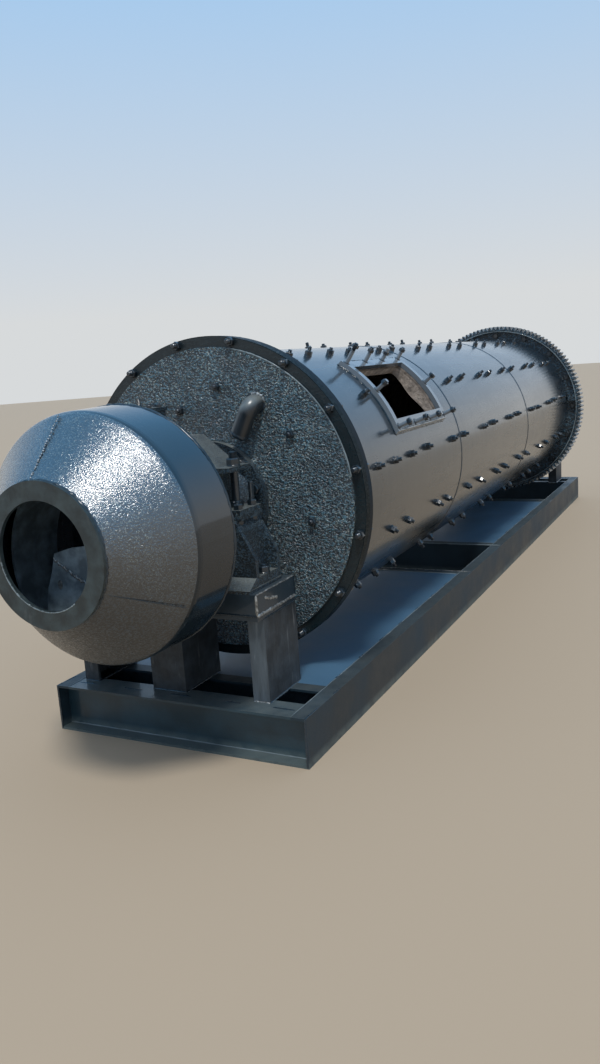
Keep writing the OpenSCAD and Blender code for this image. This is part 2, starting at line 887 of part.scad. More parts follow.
rail_right();
rail_left();
front_channels();
feed_channel();
pit_front_channel();
pit_rear_channel();
gear_front_channels();
discharge_channel();
end_channels();
floor_plate_feed();
floor_plate_middle();
feed_post_right();
feed_post_middle();
feed_post_left();
feed_pedestal_plate();
feed_pedestal_channels();
feed_bearing_base();
feed_bearing_cap();
feed_bearing_bush();
discharge_post_right();
discharge_post_middle();
discharge_post_left();
discharge_pedestal_plate();
discharge_pedestal_channels();
discharge_bearing_base();
discharge_bearing_cap();
discharge_bearing_bush();
feeder_mouth_ring();
feeder_front_cone();
feeder_band();
feeder_rear_cone();
feeder_partition();
feeder_spiral();
feed_trunnion();
feed_head();
lifting_horn();
feed_shell_flange();
shell_course_feed();
shell_course_middle();
shell_course_discharge();
wave_liner();
manhole_frame();
discharge_shell_flange();
gear_half_upper();
gear_half_lower();
discharge_head();
discharge_trunnion();
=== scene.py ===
"""Looks for the ball mill: paint, castings, bolts, welds and a plain studio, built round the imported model."""

import math
import random

import bmesh
import bpy
from bpy.props import FloatProperty, FloatVectorProperty, IntProperty, PointerProperty
from mathutils import Matrix, Vector


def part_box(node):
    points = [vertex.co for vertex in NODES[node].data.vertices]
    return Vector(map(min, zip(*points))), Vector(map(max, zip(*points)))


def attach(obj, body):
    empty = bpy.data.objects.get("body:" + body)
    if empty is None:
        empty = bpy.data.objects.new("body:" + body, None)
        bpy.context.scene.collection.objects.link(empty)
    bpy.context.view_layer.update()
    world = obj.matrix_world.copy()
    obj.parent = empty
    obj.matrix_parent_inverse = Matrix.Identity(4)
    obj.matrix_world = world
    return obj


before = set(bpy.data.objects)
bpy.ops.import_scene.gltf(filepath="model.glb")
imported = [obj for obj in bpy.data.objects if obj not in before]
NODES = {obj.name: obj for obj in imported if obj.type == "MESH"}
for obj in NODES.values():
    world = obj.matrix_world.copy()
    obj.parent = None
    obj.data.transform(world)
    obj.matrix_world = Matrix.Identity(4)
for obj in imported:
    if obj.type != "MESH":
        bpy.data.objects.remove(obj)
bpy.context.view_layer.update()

bl_info = {
    "name": "Ball mill dressing",
    "version": (1, 0, 0),
    "blender": (4, 5, 0),
    "location": "View3D > Sidebar > Mill",
    "description": "Finishes, bolts, welds and studio for the ball mill",
    "category": "Object",
}

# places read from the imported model, in metres
HEAD_LOW, HEAD_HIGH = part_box("feed_head")
AXIS = (HEAD_LOW.z + HEAD_HIGH.z) / 2
RIM_BACK = HEAD_HIGH.y
DISC_FACE = HEAD_LOW.y
FLANGE_LOW, FLANGE_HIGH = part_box("feed_shell_flange")
FLANGE_R = (FLANGE_HIGH.z - FLANGE_LOW.z) / 2
COURSE_LOW, COURSE_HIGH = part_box("shell_course_middle")
SHELL_R = (COURSE_HIGH.z - COURSE_LOW.z) / 2
SEAMS = (COURSE_LOW.y, COURSE_HIGH.y)
DRUM_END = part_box("discharge_head")[1].y
GEAR_LOW, GEAR_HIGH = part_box("gear_half_upper")
DISCHARGE_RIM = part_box("discharge_shell_flange")
SKID_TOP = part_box("rail_right")[1].z
RIM_FACE = RIM_BACK - 0.045
DISC_R = 0.776
MOUTH_R = 0.2252
DRUM = "drum"
SKID = "skid"
# pale bluish colour of the faces that look up: dust, and partly a painted sky reflection
DUST_AND_SHEEN_COLOUR = (0.16, 0.18, 0.175)


def along_mill(y):
    """Place along the mill in metres for a distance behind the feed rim's outer face."""
    return RIM_FACE + y


# ---------------------------------------------------------------- sizes and colours


class MillSizes(bpy.types.PropertyGroup):
    """Sizes of the small pieces."""

    nut_width: FloatProperty(name="Liner nut width", description="Across the flats", default=0.037, unit="LENGTH")
    nut_height: FloatProperty(name="Liner nut height", description="Height of a nut", default=0.024, unit="LENGTH")
    stub_length: FloatProperty(
        name="Bolt stub", description="Bolt end above its nut", default=0.018, unit="LENGTH"
    )
    bearing_nut: FloatProperty(
        name="Bearing nut width", description="Across the flats", default=0.05, unit="LENGTH"
    )
    bead: FloatProperty(name="Weld bead", description="Radius of a fillet weld", default=0.006, unit="LENGTH")
    flange_nut_width: FloatProperty(
        name="Flange nut width", description="Across the flats", default=0.05, unit="LENGTH"
    )
    seam_height: FloatProperty(name="Seam height", description="Height of a shell weld", default=0.003, unit="LENGTH")
    flange_bolts: IntProperty(name="Flange bolts", description="Bolts round each shell flange", default=16)
    liner_rows: IntProperty(name="Liner bolt rows", description="Rows of bolts round the shell", default=12)
    first_row: FloatProperty(name="First row", description="Angle of the first row, degrees", default=9.5)


class MillColours(bpy.types.PropertyGroup):
    """Colours of the finishes and of the studio."""

    paint: FloatVectorProperty(
        name="Black paint", description="Skid, bearings and shell", subtype="COLOR", default=(0.010, 0.018, 0.026)
    )
    dull: FloatVectorProperty(
        name="Thin paint", description="Posts and mouth ring", subtype="COLOR", default=(0.026, 0.034, 0.041)
    )
    rust: FloatVectorProperty(
        name="Rust", description="Manhole walls and liner", subtype="COLOR", default=(0.26, 0.225, 0.195)
    )
    bright: FloatVectorProperty(
        name="Bare metal", description="Weld beads and rubbed edges", subtype="COLOR", default=(0.50, 0.52, 0.52)
    )
    floor: FloatVectorProperty(
        name="Floor", description="Studio floor", subtype="COLOR", default=(0.47, 0.385, 0.285)
    )
    low_sky: FloatVectorProperty(
        name="Backdrop", description="Background near the floor", subtype="COLOR", default=(0.68, 0.70, 0.71)
    )
    high_sky: FloatVectorProperty(
        name="Backdrop overhead", description="Background overhead", subtype="COLOR", default=(0.20, 0.52, 0.92)
    )


# ---------------------------------------------------------------- shader helpers


class Shader:
    """Small builder of one procedural material."""

    def __init__(self, name):
        self.material = bpy.data.materials.new(name)
        self.material.use_nodes = True
        self.tree = self.material.node_tree
        self.body = self.tree.nodes["Principled BSDF"]
        coordinates = self.tree.nodes.new("ShaderNodeTexCoord")
        self.place = coordinates.outputs["Object"]
        self.facing = coordinates.outputs["Normal"]

    def node(self, kind, **values):
        made = self.tree.nodes.new(kind)
        for key, value in values.items():
            setattr(made, key, value)
        return made

    def link(self, source, target):
        self.tree.links.new(source, target)

    def stretched(self, scale):
        """Coordinates stretched along the axes."""
        mapping = self.node("ShaderNodeMapping")
        mapping.inputs["Scale"].default_value = scale
        self.link(self.place, mapping.inputs["Vector"])
        return mapping.outputs["Vector"]

    def noise(self, scale, detail=3.0, rough=0.55, place=None, distortion=0.0):
        made = self.node("ShaderNodeTexNoise")
        made.inputs["Scale"].default_value = scale
        made.inputs["Detail"].default_value = detail
        made.inputs["Roughness"].default_value = rough
        made.inputs["Distortion"].default_value = distortion
        self.link(place or self.place, made.inputs["Vector"])
        return made.outputs["Fac"]

    def cells(self, scale, place=None, feature="F1"):
        made = self.node("ShaderNodeTexVoronoi", feature=feature)
        made.inputs["Scale"].default_value = scale
        self.link(place or self.place, made.inputs["Vector"])
        return made.outputs["Distance"]

    def spread(self, source, low, high, out_low=0.0, out_high=1.0):
        """Maps a range to another, clamped."""
        made = self.node("ShaderNodeMapRange")
        made.inputs["From Min"].default_value = low
        made.inputs["From Max"].default_value = high
        made.inputs["To Min"].default_value = out_low
        made.inputs["To Max"].default_value = out_high
        self.link(source, made.inputs["Value"])
        return made.outputs["Result"]

    def maths(self, operation, a, b=None):
        made = self.node("ShaderNodeMath", operation=operation)
        for socket, value in zip(made.inputs, (a, b)):
            if value is None:
                continue
            if isinstance(value, (int, float)):
                socket.default_value = value
            else:
                self.link(value, socket)
        return made.outputs["Value"]

    def mix(self, amount, a, b):
        """Mixes two colours, each a socket or a tuple."""
        made = self.node("ShaderNodeMix", data_type="RGBA")
        self.link(amount, made.inputs["Factor"])
        for index, value in ((6, a), (7, b)):
            if isinstance(value, (tuple, list)):
                made.inputs[index].default_value = (*value[:3], 1.0)
            else:
                self.link(value, made.inputs[index])
        return made.outputs[2]

    def radius(self):
        """Distance from the mill axis."""
        position = self.node("ShaderNodeSeparateXYZ")
        self.link(self.place, position.inputs["Vector"])
        up = self.maths("SUBTRACT", position.outputs["Z"], AXIS)
        across = self.maths("MULTIPLY", position.outputs["X"], position.outputs["X"])
        return self.maths("SQRT", self.maths("ADD", across, self.maths("MULTIPLY", up, up)))

    def dust_and_sheen(self, colour, dust, amount, steep=0.55):
        """Pale colour in patches on the faces that look up: dust lying there, and partly a painted sky reflection;
        steep is where it starts to hold.
        """
        facing = self.node("ShaderNodeSeparateXYZ")
        self.link(self.facing, facing.inputs["Vector"])
        lying = self.spread(facing.outputs["Z"], steep, steep + 0.4, 0.0, amount)
        patches = self.spread(self.noise(17.0, 4.0, 0.6), 0.25, 0.6, 0.45, 1.0)
        return self.mix(self.maths("MULTIPLY", lying, patches), colour, dust)

    def dry_below(self, under):
        """Weight of the gloss coat: full on the upper faces, less on those that look down."""
        facing = self.node("ShaderNodeSeparateXYZ")
        self.link(self.facing, facing.inputs["Vector"])
        return self.spread(facing.outputs["Z"], -0.55, 0.35, under, 1.0)

    def bump(self, height, distance, strength=1.0, normal=None):
        made = self.node("ShaderNodeBump")
        made.inputs["Strength"].default_value = strength
        made.inputs["Distance"].default_value = distance
        self.link(height, made.inputs["Height"])
        if normal is not None:
            self.link(normal, made.inputs["Normal"])
        return made.outputs["Normal"]

    def finish(self, colour=None, roughness=None, normal=None):
        for socket, value in (("Base Color", colour), ("Roughness", roughness), ("Normal", normal)):
            if value is None:
                continue
            if isinstance(value, (int, float)):
                self.body.inputs[socket].default_value = value
            elif isinstance(value, (tuple, list)):
                self.body.inputs[socket].default_value = (*value[:3], 1.0)
            else:
                self.link(value, self.body.inputs[socket])
        return self.material

    def gloss(self, coat, coat_roughness=0.1, ior=1.5, coat_ior=1.5):
        self.body.inputs["Coat Weight"].default_value = coat
        self.body.inputs["Coat Roughness"].default_value = coat_roughness
        self.body.inputs["Coat IOR"].default_value = coat_ior
        self.body.inputs["IOR"].default_value = ior


def scaled(colour, amount):
    """A lighter or darker colour."""
    return tuple(min(1.0, c * amount) for c in colour[:3])


def black_paint(name, paint, roughness=0.24, coat=0.4, peel=0.0004, wave=0.002, dust=0.5, coat_ior=1.5, ior=1.4, dust_and_sheen=0.0,
                coat_rough=0.08, steep=0.55, under=1.0, near_floor_pale=0.0):
    """Brushed gloss black: faint peel, slow waves, thin dust in patches, a pale colour on the faces that look up that
    is partly dust and partly a painted sky reflection, and paler bluish grey in patches just above the floor.
    """
    s = Shader(name)
    patches = s.noise(3.1, 4.0)
    specks = s.noise(160.0, 2.0)
    colour = s.mix(s.spread(patches, 0.42, 0.72, 0.0, dust), paint, scaled(paint, 2.6))
    # faces that look up turn pale: partly dust, partly a painted sky reflection
    if dust_and_sheen:
        colour = s.dust_and_sheen(colour, DUST_AND_SHEEN_COLOUR, dust_and_sheen, steep)
    # paler bluish grey in patches on the faces up to 5 cm above the floor
    if near_floor_pale:
        position = s.node("ShaderNodeSeparateXYZ")
        s.link(s.place, position.inputs["Vector"])
        near_floor_patches = s.maths("MULTIPLY", s.spread(position.outputs["Z"], 0.02, 0.05, near_floor_pale, 0.0), s.spread(s.noise(14.0, 4.0), 0.3, 0.55, 0.4, 1.0))
        colour = s.mix(near_floor_patches, colour, (0.10, 0.135, 0.14))
    rough = s.maths("ADD", s.spread(patches, 0.35, 0.75, roughness * 0.8, roughness * 1.35),
                    s.spread(specks, 0.5, 0.75, 0.0, 0.08))
    slow = s.bump(s.noise(7.0, 2.0), wave)
    normal = s.bump(specks, peel, normal=slow)
    s.gloss(coat, coat_rough, ior, coat_ior)
    if under != 1.0:
        s.link(s.dry_below(under), s.body.inputs["Coat Weight"])
    return s.finish(colour, rough, normal)


def shell_paint(name, paint, rust):
    """High-gloss shell with faint runs round it, and rusty walls where the plate is cut through."""
    s = Shader(name)
    runs = s.noise(9.0, 4.0, place=s.stretched((1.0, 0.12, 1.0)))
    rings = s.noise(14.0, 2.0, place=s.stretched((0.1, 1.0, 0.1)))
    patches = s.noise(1.7, 3.0)
    specks = s.noise(240.0, 2.0)
    colour = s.mix(s.spread(runs, 0.5, 0.8, 0.0, 0.5), paint, scaled(paint, 2.2))
    rough = s.maths("ADD", s.spread(runs, 0.35, 0.75, 0.20, 0.34), s.spread(patches, 0.4, 0.8, 0.0, 0.10))
    cut = s.spread(s.radius(), SHELL_R - 0.0035, SHELL_R - 0.0015, 1.0, 0.0)
    blotch = s.noise(34.0, 5.0, 0.65)
    rusty = s.mix(s.spread(blotch, 0.35, 0.7), scaled(rust, 0.45), scaled(rust, 1.5))
    colour = s.mix(cut, colour, rusty)
    rough = s.maths("MAXIMUM", rough, s.maths("MULTIPLY", cut, 0.62))
    slow = s.bump(s.maths("ADD", s.maths("MULTIPLY", rings, 0.5), s.noise(5.0, 1.0)), 0.0016)
    normal = s.bump(s.maths("ADD", specks, s.maths("MULTIPLY", s.maths("MULTIPLY", cut, blotch), 6.0)), 0.0003, normal=slow)
    s.gloss(1.0, 0.15, 1.4, 1.6)
    s.link(s.dry_below(0.6), s.body.inputs["Coat Weight"])
    return s.finish(colour, rough, normal)


def rough_casting(name, paint, grain, depth, coat_ior, coat_rough, glitter=4.0, smooth_beyond=0.0, dust_and_sheen=0.0, points=0.0,
                  under=1.0):
    """Thick gloss paint over a coarse casting or a pitted plate: it glitters through its bumps, with lighter specks and
    pale points painted into its colour as painted glints; a machined rim stays smooth.
    """
    s = Shader(name)
    place = s.stretched((0.7, 0.7, 1.0))
    lumps = s.noise(grain, 2.0, 0.6, place=place, distortion=0.3)
    fine = s.noise(grain * 2.1, 1.0)
    broad = s.noise(5.0, 3.0)
    speck = s.maths("MULTIPLY", s.spread(lumps, 0.50, 0.60), s.spread(broad, 0.3, 0.7, 0.45, 1.0))
    height = s.maths("ADD", lumps, s.maths("MULTIPLY", fine, 0.3))
    if smooth_beyond:
        cast = s.spread(s.radius(), smooth_beyond - 0.001, smooth_beyond + 0.001, 1.0, 0.06)
        speck = s.maths("MULTIPLY", speck, cast)
        shine = s.spread(s.radius(), FLANGE_R - 0.004, FLANGE_R - 0.002, 1.0, 0.12)
        s.link(s.maths("MULTIPLY", s.maths("MAXIMUM", cast, 0.3), shine), s.body.inputs["Coat Weight"])
        s.link(s.maths("MULTIPLY", shine, 0.5), s.body.inputs["Specular IOR Level"])
        height = s.maths("MULTIPLY", height, cast)
    # lighter specks painted into the colour are painted glints; glitter sets how light they are
    colour = s.mix(speck, scaled(paint, 0.6), scaled(paint, glitter))
    # pale points painted into the colour are painted glints, kept to the faces that look up when under is set
    if points:
        pale = s.maths("MULTIPLY", s.spread(s.noise(grain * 1.25, 2.0, 0.7), 0.57, 0.65, 0.0, points), s.spread(broad, 0.35, 0.65, 0.3, 1.0))
        if smooth_beyond:
            pale = s.maths("MULTIPLY", pale, s.spread(cast, 0.06, 1.0))
        if under != 1.0:
            pale = s.maths("MULTIPLY", pale, s.dry_below(0.0))
        colour = s.mix(pale, colour, (0.34, 0.42, 0.40))
    # faces that look up turn pale: partly dust, partly a painted sky reflection
    if dust_and_sheen:
        colour = s.dust_and_sheen(colour, DUST_AND_SHEEN_COLOUR, dust_and_sheen)
    rough = s.spread(lumps, 0.45, 0.65, 0.5, 0.24)
    normal = s.bump(height, depth, normal=s.bump(broad, 0.004))
    s.gloss(1.0, coat_rough, 1.4, coat_ior)
    if under != 1.0:
        s.link(s.dry_below(under), s.body.inputs["Coat Weight"])
    s.link(normal, s.body.inputs["Coat Normal"])
    return s.finish(colour, rough, normal)


def thin_paint(name, dull, bright, roughness=0.5, wear=0.5, front=1.0):
    """Worn thin paint over mill scale, with scratches, bare streaks and, when front is set, a front face painted paler
    as painted light.
    """
    s = Shader(name)
    patches = s.noise(11.0, 5.0, 0.6)
    streaks = s.noise(26.0, 4.0, 0.6, place=s.stretched((1.0, 1.0, 0.16)))
    grit = s.noise(210.0, 3.0)
    colour = s.mix(s.spread(patches, 0.4, 0.7), scaled(dull, 0.55), scaled(dull, 1.5))
    # the face that looks to the front is painted paler: painted light
    if front != 1.0:
        facing = s.node("ShaderNodeSeparateXYZ")
        s.link(s.facing, facing.inputs["Vector"])
        pale = s.mix(s.spread(streaks, 0.35, 0.65), scaled(dull, front * 0.7), scaled(dull, front * 1.4))
        colour = s.mix(s.spread(facing.outputs["Y"], -0.9, -0.6, 1.0, 0.0), colour, pale)
    colour = s.mix(s.spread(streaks, 0.60, 0.74, 0.0, wear * 0.5), colour, bright)
    rough = s.spread(streaks, 0.3, 0.8, roughness * 0.75, roughness * 1.25)
    normal = s.bump(s.maths("ADD", grit, s.maths("MULTIPLY", patches, 2.0)), 0.0008)
    s.gloss(0.15, 0.3)
    return s.finish(colour, rough, normal)


def rusty(name, rust):
    """Brown scaling rust."""
    s = Shader(name)
    blotch = s.noise(22.0, 6.0, 0.66)
    scale = s.cells(95.0)
    colour = s.mix(s.spread(blotch, 0.35, 0.68), scaled(rust, 0.4), scaled(rust, 1.35))
    normal = s.bump(s.maths("ADD", blotch, s.maths("MULTIPLY", scale, 0.5)), 0.004)
    return s.finish(colour, s.spread(blotch, 0.3, 0.7, 0.55, 0.85), normal)


def bare_metal(name, bright, metallic=0.7, roughness=0.36):
    """Bare or thinly painted weld metal and rubbed nuts; some beads drawn in it stand as painted highlights."""
    s = Shader(name)
    blotch = s.noise(70.0, 4.0, 0.6)
    colour = s.mix(s.spread(blotch, 0.4, 0.66), scaled(bright, 0.30), bright)
    s.body.inputs["Metallic"].default_value = metallic
    return s.finish(colour, s.spread(blotch, 0.3, 0.7, roughness * 0.8, roughness * 1.4),
                    s.bump(s.noise(320.0, 2.0), 0.0006))


def bolt_paint(name, paint, rust, bright):
    """Nuts and bolt ends: black paint, some rubbed bright or rusty."""
    s = Shader(name)
    which = s.noise(13.0, 3.0, 0.7)
    fine = s.noise(150.0, 3.0)
    colour = s.mix(s.spread(which, 0.66, 0.72), scaled(paint, 0.9), scaled(rust, 0.25))
    colour = s.mix(s.maths("MULTIPLY", s.spread(which, 0.66, 0.72), s.spread(fine, 0.4, 0.6)), colour, scaled(bright, 0.7))
    s.gloss(0.7, 0.12)
    return s.finish(colour, s.spread(fine, 0.3, 0.7, 0.24, 0.46), s.bump(fine, 0.0009))


# ---------------------------------------------------------------- mesh helpers


def lathe(mesh, profile, place, steps=16, turn=0.0):
    """Adds a turned solid: (radius, height) pairs about the place's z axis, closed at both ends."""
    rings = []
    for radius, height in profile:
        ring = []
        for i in range(steps):
            a = 2 * math.pi * (i + turn) / steps
            ring.append(mesh.verts.new(place @ Vector((radius * math.cos(a), radius * math.sin(a), height))))
        rings.append(ring)
    for low, high in zip(rings, rings[1:]):
        for i in range(steps):
            j = (i + 1) % steps
            mesh.faces.new((low[i], low[j], high[j], high[i]))
    mesh.faces.new(list(reversed(rings[0])))
    mesh.faces.new(rings[-1])


def loop_bead(mesh, points, radius, closed, sides=6, ripple=0.0, squash=1.0, normals=None, seed=1):
    """Adds a rope of weld metal through points; normals say which way is out at each."""
    rng = random.Random(seed)
    count = len(points)
    rings = []
    for i, p in enumerate(points):
        before = points[i - 1] if closed or i else p
        after = points[(i + 1) % count] if closed or i < count - 1 else p
        forward = (after - before).normalized()
        up = normals[i] if normals else Vector((0, 0, 1))
        side = forward.cross(up)
        side = side.normalized() if side.length > 1e-6 else forward.orthogonal().normalized()
        up = side.cross(forward).normalized()
        size = radius * (1.0 + ripple * (rng.random() - 0.5) * 2)
        if not closed and i in (0, count - 1):
            size *= 0.45
        ring = []
        for k in range(sides):
            a = 2 * math.pi * k / sides
            ring.append(mesh.verts.new(p + side * (math.cos(a) * size) + up * (math.sin(a) * size * squash)))
        rings.append(ring)
    pairs = list(zip(rings, rings[1:]))
    if closed:
        pairs.append((rings[-1], rings[0]))
    for low, high in pairs:
        for k in range(sides):
            j = (k + 1) % sides
            mesh.faces.new((low[k], low[j], high[j], high[k]))
    if not closed:
        mesh.faces.new(list(reversed(rings[0])))
        mesh.faces.new(rings[-1])


def axes(origin, out, along):
    """Matrix whose z points out and x points along."""
    z = Vector(out).normalized()
    x = (Vector(along) - z * Vector(along).dot(z)).normalized()
    y = z.cross(x)
    m = Matrix((x, y, z)).transposed().to_4x4()
    m.translation = Vector(origin)
    return m


def on_drum(angle, radius, y):
    """Matrix on the drum with z outwards; the angle is in degrees from +X towards up."""
    a = math.radians(angle)
    out = Vector((math.cos(a), 0, math.sin(a)))
    return axes(Vector((radius * out.x, y, AXIS + radius * out.z)), out, (0, 1, 0))


def drum_point(angle, radius, y):
    """Point at an angle and radius about the mill axis."""
    a = math.radians(angle)
    return Vector((radius * math.cos(a), y, AXIS + radius * math.sin(a)))


def add_nut(mesh, place, width, height, turn=0.0):
    """Hexagon nut with a chamfered top."""
    r = width / math.sqrt(3)
    lathe(mesh, [(r, 0), (r, height * 0.86), (r * 0.88, height)], place, 6, turn)


def add_stub(mesh, place, radius, start, length, steps=10, pitch=0.0045):
    """Threaded bolt end with a chamfered tip."""
    profile = [(radius, start)]
    z = start
    while z + pitch < start + length - 0.003:
        profile.append((radius, z + pitch * 0.35))
        profile.append((radius * 0.90, z + pitch * 0.65))
        z += pitch
    profile.append((radius, start + length - 0.003))
    profile.append((radius * 0.75, start + length))
    lathe(mesh, profile, place, steps)


def add_washer(mesh, place, radius, height, steps=18):
    """Round washer with a soft edge."""
    lathe(mesh, [(radius, 0), (radius, height * 0.7), (radius * 0.96, height)], place, steps)


def add_bolt(mesh, place, width, height, stub, rng, reach=0.36):
    """Nut with a threaded end standing out of it."""
    add_nut(mesh, place, width, height, rng.random())
    add_stub(mesh, place, width * reach, height, stub + rng.uniform(-0.002, 0.003))


def add_bead(mesh, points, out, radius, rng, step=0.012, squash=0.7, wobble=0.0012):
    """Fillet weld through corner points, with the ripple and wobble of a hand weld."""
    path = []
    points = [Vector(p) for p in points]
    for a, b in zip(points, points[1:]):
        count = max(2, round((b - a).length / step))
        path += [a.lerp(b, i / count) for i in range(count)]
    path.append(points[-1])
    path = [p + Vector([rng.uniform(-wobble, wobble) for _ in range(3)]) for p in path]
    loop_bead(mesh, path, radius, False, 6, 0.28, squash, [Vector(out)] * len(path), rng.randrange(1000))


def add_ring_bead(mesh, y, radius, size, rng, steps=200, squash=0.7, ripple=0.25, wobble=0.001):
    """Weld bead all round the mill at one place along it."""
    points, normals = [], []
    for i in range(steps):
        a = 360.0 * i / steps
        points.append(drum_point(a, radius + rng.uniform(-wobble, wobble), y + rng.uniform(-wobble, wobble)))
        normals.append(drum_point(a, 2, 0) - drum_point(a, 1, 0))
    loop_bead(mesh, points, size, True, 6, ripple, squash, normals, rng.randrange(1000))


def upright(point, along=(1, 0, 0)):
    """Matrix standing straight up at a point."""
    return axes(point, (0, 0, 1), along)


def make_piece(name, mesh, material, body, smooth=40.0):
    """Turns mesh code into a named piece that rides on a body."""
    bmesh.ops.recalc_face_normals(mesh, faces=mesh.faces)
    data = bpy.data.meshes.new(name)
    mesh.to_mesh(data)
    mesh.free()
    made = bpy.data.objects.new(name, data)
    bpy.context.scene.collection.objects.link(made)
    soften(made, smooth)
    data.materials.append(material)
    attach(made, body)
    return made


def soften(piece, angle):
    """Smooth shading that stays sharp at edges steeper than the angle."""
    data = piece.data
    data.shade_smooth()
    steep = math.radians(angle)
    mesh = bmesh.new()
    mesh.from_mesh(data)
    hard = [e.index for e in mesh.edges if len(e.link_faces) != 2 or e.calc_face_angle(0.0) > steep]
    mesh.free()
    attribute = data.attributes.get("sharp_edge") or data.attributes.new("sharp_edge", "BOOLEAN", "EDGE")
    flags = [False] * len(data.edges)
    for i in hard:
        flags[i] = True
    attribute.data.foreach_set("value", flags)
    data.update()


def paint_node(name, material):
    """Gives a CAD node its finish."""
    data = NODES[name].data
    data.materials.clear()
    data.materials.append(material)


def finish_named(name):
    """A finish made by the finishes operator."""
    return bpy.data.materials[name]


# ---------------------------------------------------------------- operators


class MILL_OT_finishes(bpy.types.Operator):
    """Make every finish and paint the solids."""

    bl_idname = "mill.finishes"
    bl_label = "Finishes"

    def execute(self, context):
        c = context.scene.mill_colours
        paint, dull, rust, bright = (tuple(v) for v in (c.paint, c.dull, c.rust, c.bright))
        # upward faces pale, partly dust and partly a painted sky reflection; paler bluish grey in patches near the
        # floor
        gloss = black_paint("skid_gloss", (0.012, 0.026, 0.038), 0.48, 0.05, 0.0005, 0.0015, 0.4, dust_and_sheen=0.3, near_floor_pale=0.8)
        # a lighter, bluer copy of the skid paint: painted light on the front channels
        front = black_paint("front_channels_lit_gloss", (0.014, 0.037, 0.053), 0.4, 0.4, 0.0007, 0.002, 0.6, dust_and_sheen=0.5, near_floor_pale=0.8)
        shell = shell_paint("shell_gloss", paint, rust)
        head = rough_casting("head_casting", (0.0080, 0.0195, 0.026), 100.0, 0.0175, 1.65, 0.16, 9.6, DISC_R, points=1.0)
        cone = rough_casting("feeder_pitted", scaled(paint, 1.05), 146.0, 0.0024, 2.35, 0.16, 3.0, points=0.8, under=0.35)
        band = black_paint("feeder_band_gloss", scaled(paint, 0.9), 0.26, 1.0, 0.0003, 0.002, 0.3, 1.75, ior=1.15, under=0.25)
        # pale bluish colour of the manhole frame's bars: a painted sky reflection
        frame_sheen = black_paint("frame_sky_sheen", (0.15, 0.185, 0.22), 0.26, 1.0, 0.0003, 0.002, 0.1, 1.7)
        # the horn's upward faces turn pale: partly dust, partly a painted sky reflection
        horn = black_paint("horn_gloss", scaled(paint, 0.8), 0.5, 1.0, 0.0006, 0.003, 0.3, 1.48, dust_and_sheen=1.0, coat_rough=0.25, steep=0.1)
        gear = rough_casting("gear_paint", (0.008, 0.020, 0.031), 70.0, 0.008, 1.45, 0.2, 6.0, points=0.6, under=0.6)
        # pale upward faces of the bearings: partly dust, partly a painted sky reflection
        bearing = rough_casting("bearing_casting", scaled(paint, 1.2), 120.0, 0.004, 1.34, 0.22, 4.5, dust_and_sheen=1.2, points=0.35)
        flange = black_paint("flange_paint", scaled(paint, 0.9), 0.5, 0.04, ior=1.15)
        post = thin_paint("post_paint", scaled(dull, 1.1), bright, 0.8, 0.4)
        # the right feed post's front face painted paler: painted light
        post_lit_front = thin_paint("post_lit_front_paint", scaled(dull, 1.1), bright, 0.8, 0.4, 2.8)
        mouth = thin_paint("mouth_paint", (0.029, 0.045, 0.050), bright, 0.5, 0.2)
        # pale bluish colour inside the feeder: painted light where the sky shines in
        inside = thin_paint("inside_painted_light", (0.24, 0.33, 0.40), bright, 0.5, 0.0)
        # upward faces a little pale: partly dust, partly a painted sky reflection
        pedestal = black_paint("pedestal_paint", (0.016, 0.031, 0.046), 0.4, 0.4, 0.0008, 0.002, dust_and_sheen=0.2)
        # blue of the floor plates: partly their own paint, partly a painted sky reflection that also lifts the drum's
        # shadow
        plate = black_paint("floor_plate_paint_and_sky_sheen", (0.066, 0.155, 0.255), 0.5, 0.7, 0.0004, 0.002, 0.1, 1.6, coat_rough=0.4)
        liner = rusty("liner_rust", scaled(rust, 1.7))
        bush = bare_metal("bush_bronze", (0.42, 0.30, 0.13), 0.9, 0.3)
        # bare weld metal; some beads drawn in it are painted highlights
        bare_metal("weld_bare_and_highlight", bright)
        # pale bluish beads along edges: painted highlights
        black_paint("edge_highlight", (0.15, 0.19, 0.21), 0.4, 0.5, coat_ior=1.5)
        black_paint("weld_black", scaled(paint, 1.4), 0.26, 0.5, 0.0006, 0.0004)
        bolt_paint("bolt_black", paint, rust, bright)
        rules = (
            (("front_channels",), front),
            (("rail_", "feed_channel", "pit_", "gear_front", "discharge_channel", "end_"), gloss),
            (("floor_plate",), plate),
            (("feed_post_right",), post_lit_front),
            (("feed_post", "discharge_post"), post),
            (("feed_pedestal", "discharge_pedestal"), pedestal),
            (("feed_bearing_bush", "discharge_bearing_bush"), bush),
            (("feed_bearing", "discharge_bearing"), bearing),
            (("feeder_mouth",), mouth),
            (("feeder_partition", "feeder_spiral"), inside),
            (("feeder_front_cone",), cone),
            (("feeder_",), band),
            (("feed_trunnion", "discharge_trunnion"), bearing),
            (("lifting_horn",), horn),
            (("feed_head", "discharge_head"), head),
            (("feed_shell_flange", "discharge_shell_flange"), flange),
            (("shell_course",), shell),
            (("wave_liner",), liner),
            (("manhole_frame",), frame_sheen),
            (("gear_half",), gear),
        )
        for name in NODES:
            for starts, material in rules:
                if name.startswith(starts):
                    paint_node(name, material)
                    break
            else:
                raise RuntimeError(f"no finish for {name}")
        for piece in NODES.values():
            soften(piece, 28.0)
        return {"FINISHED"}


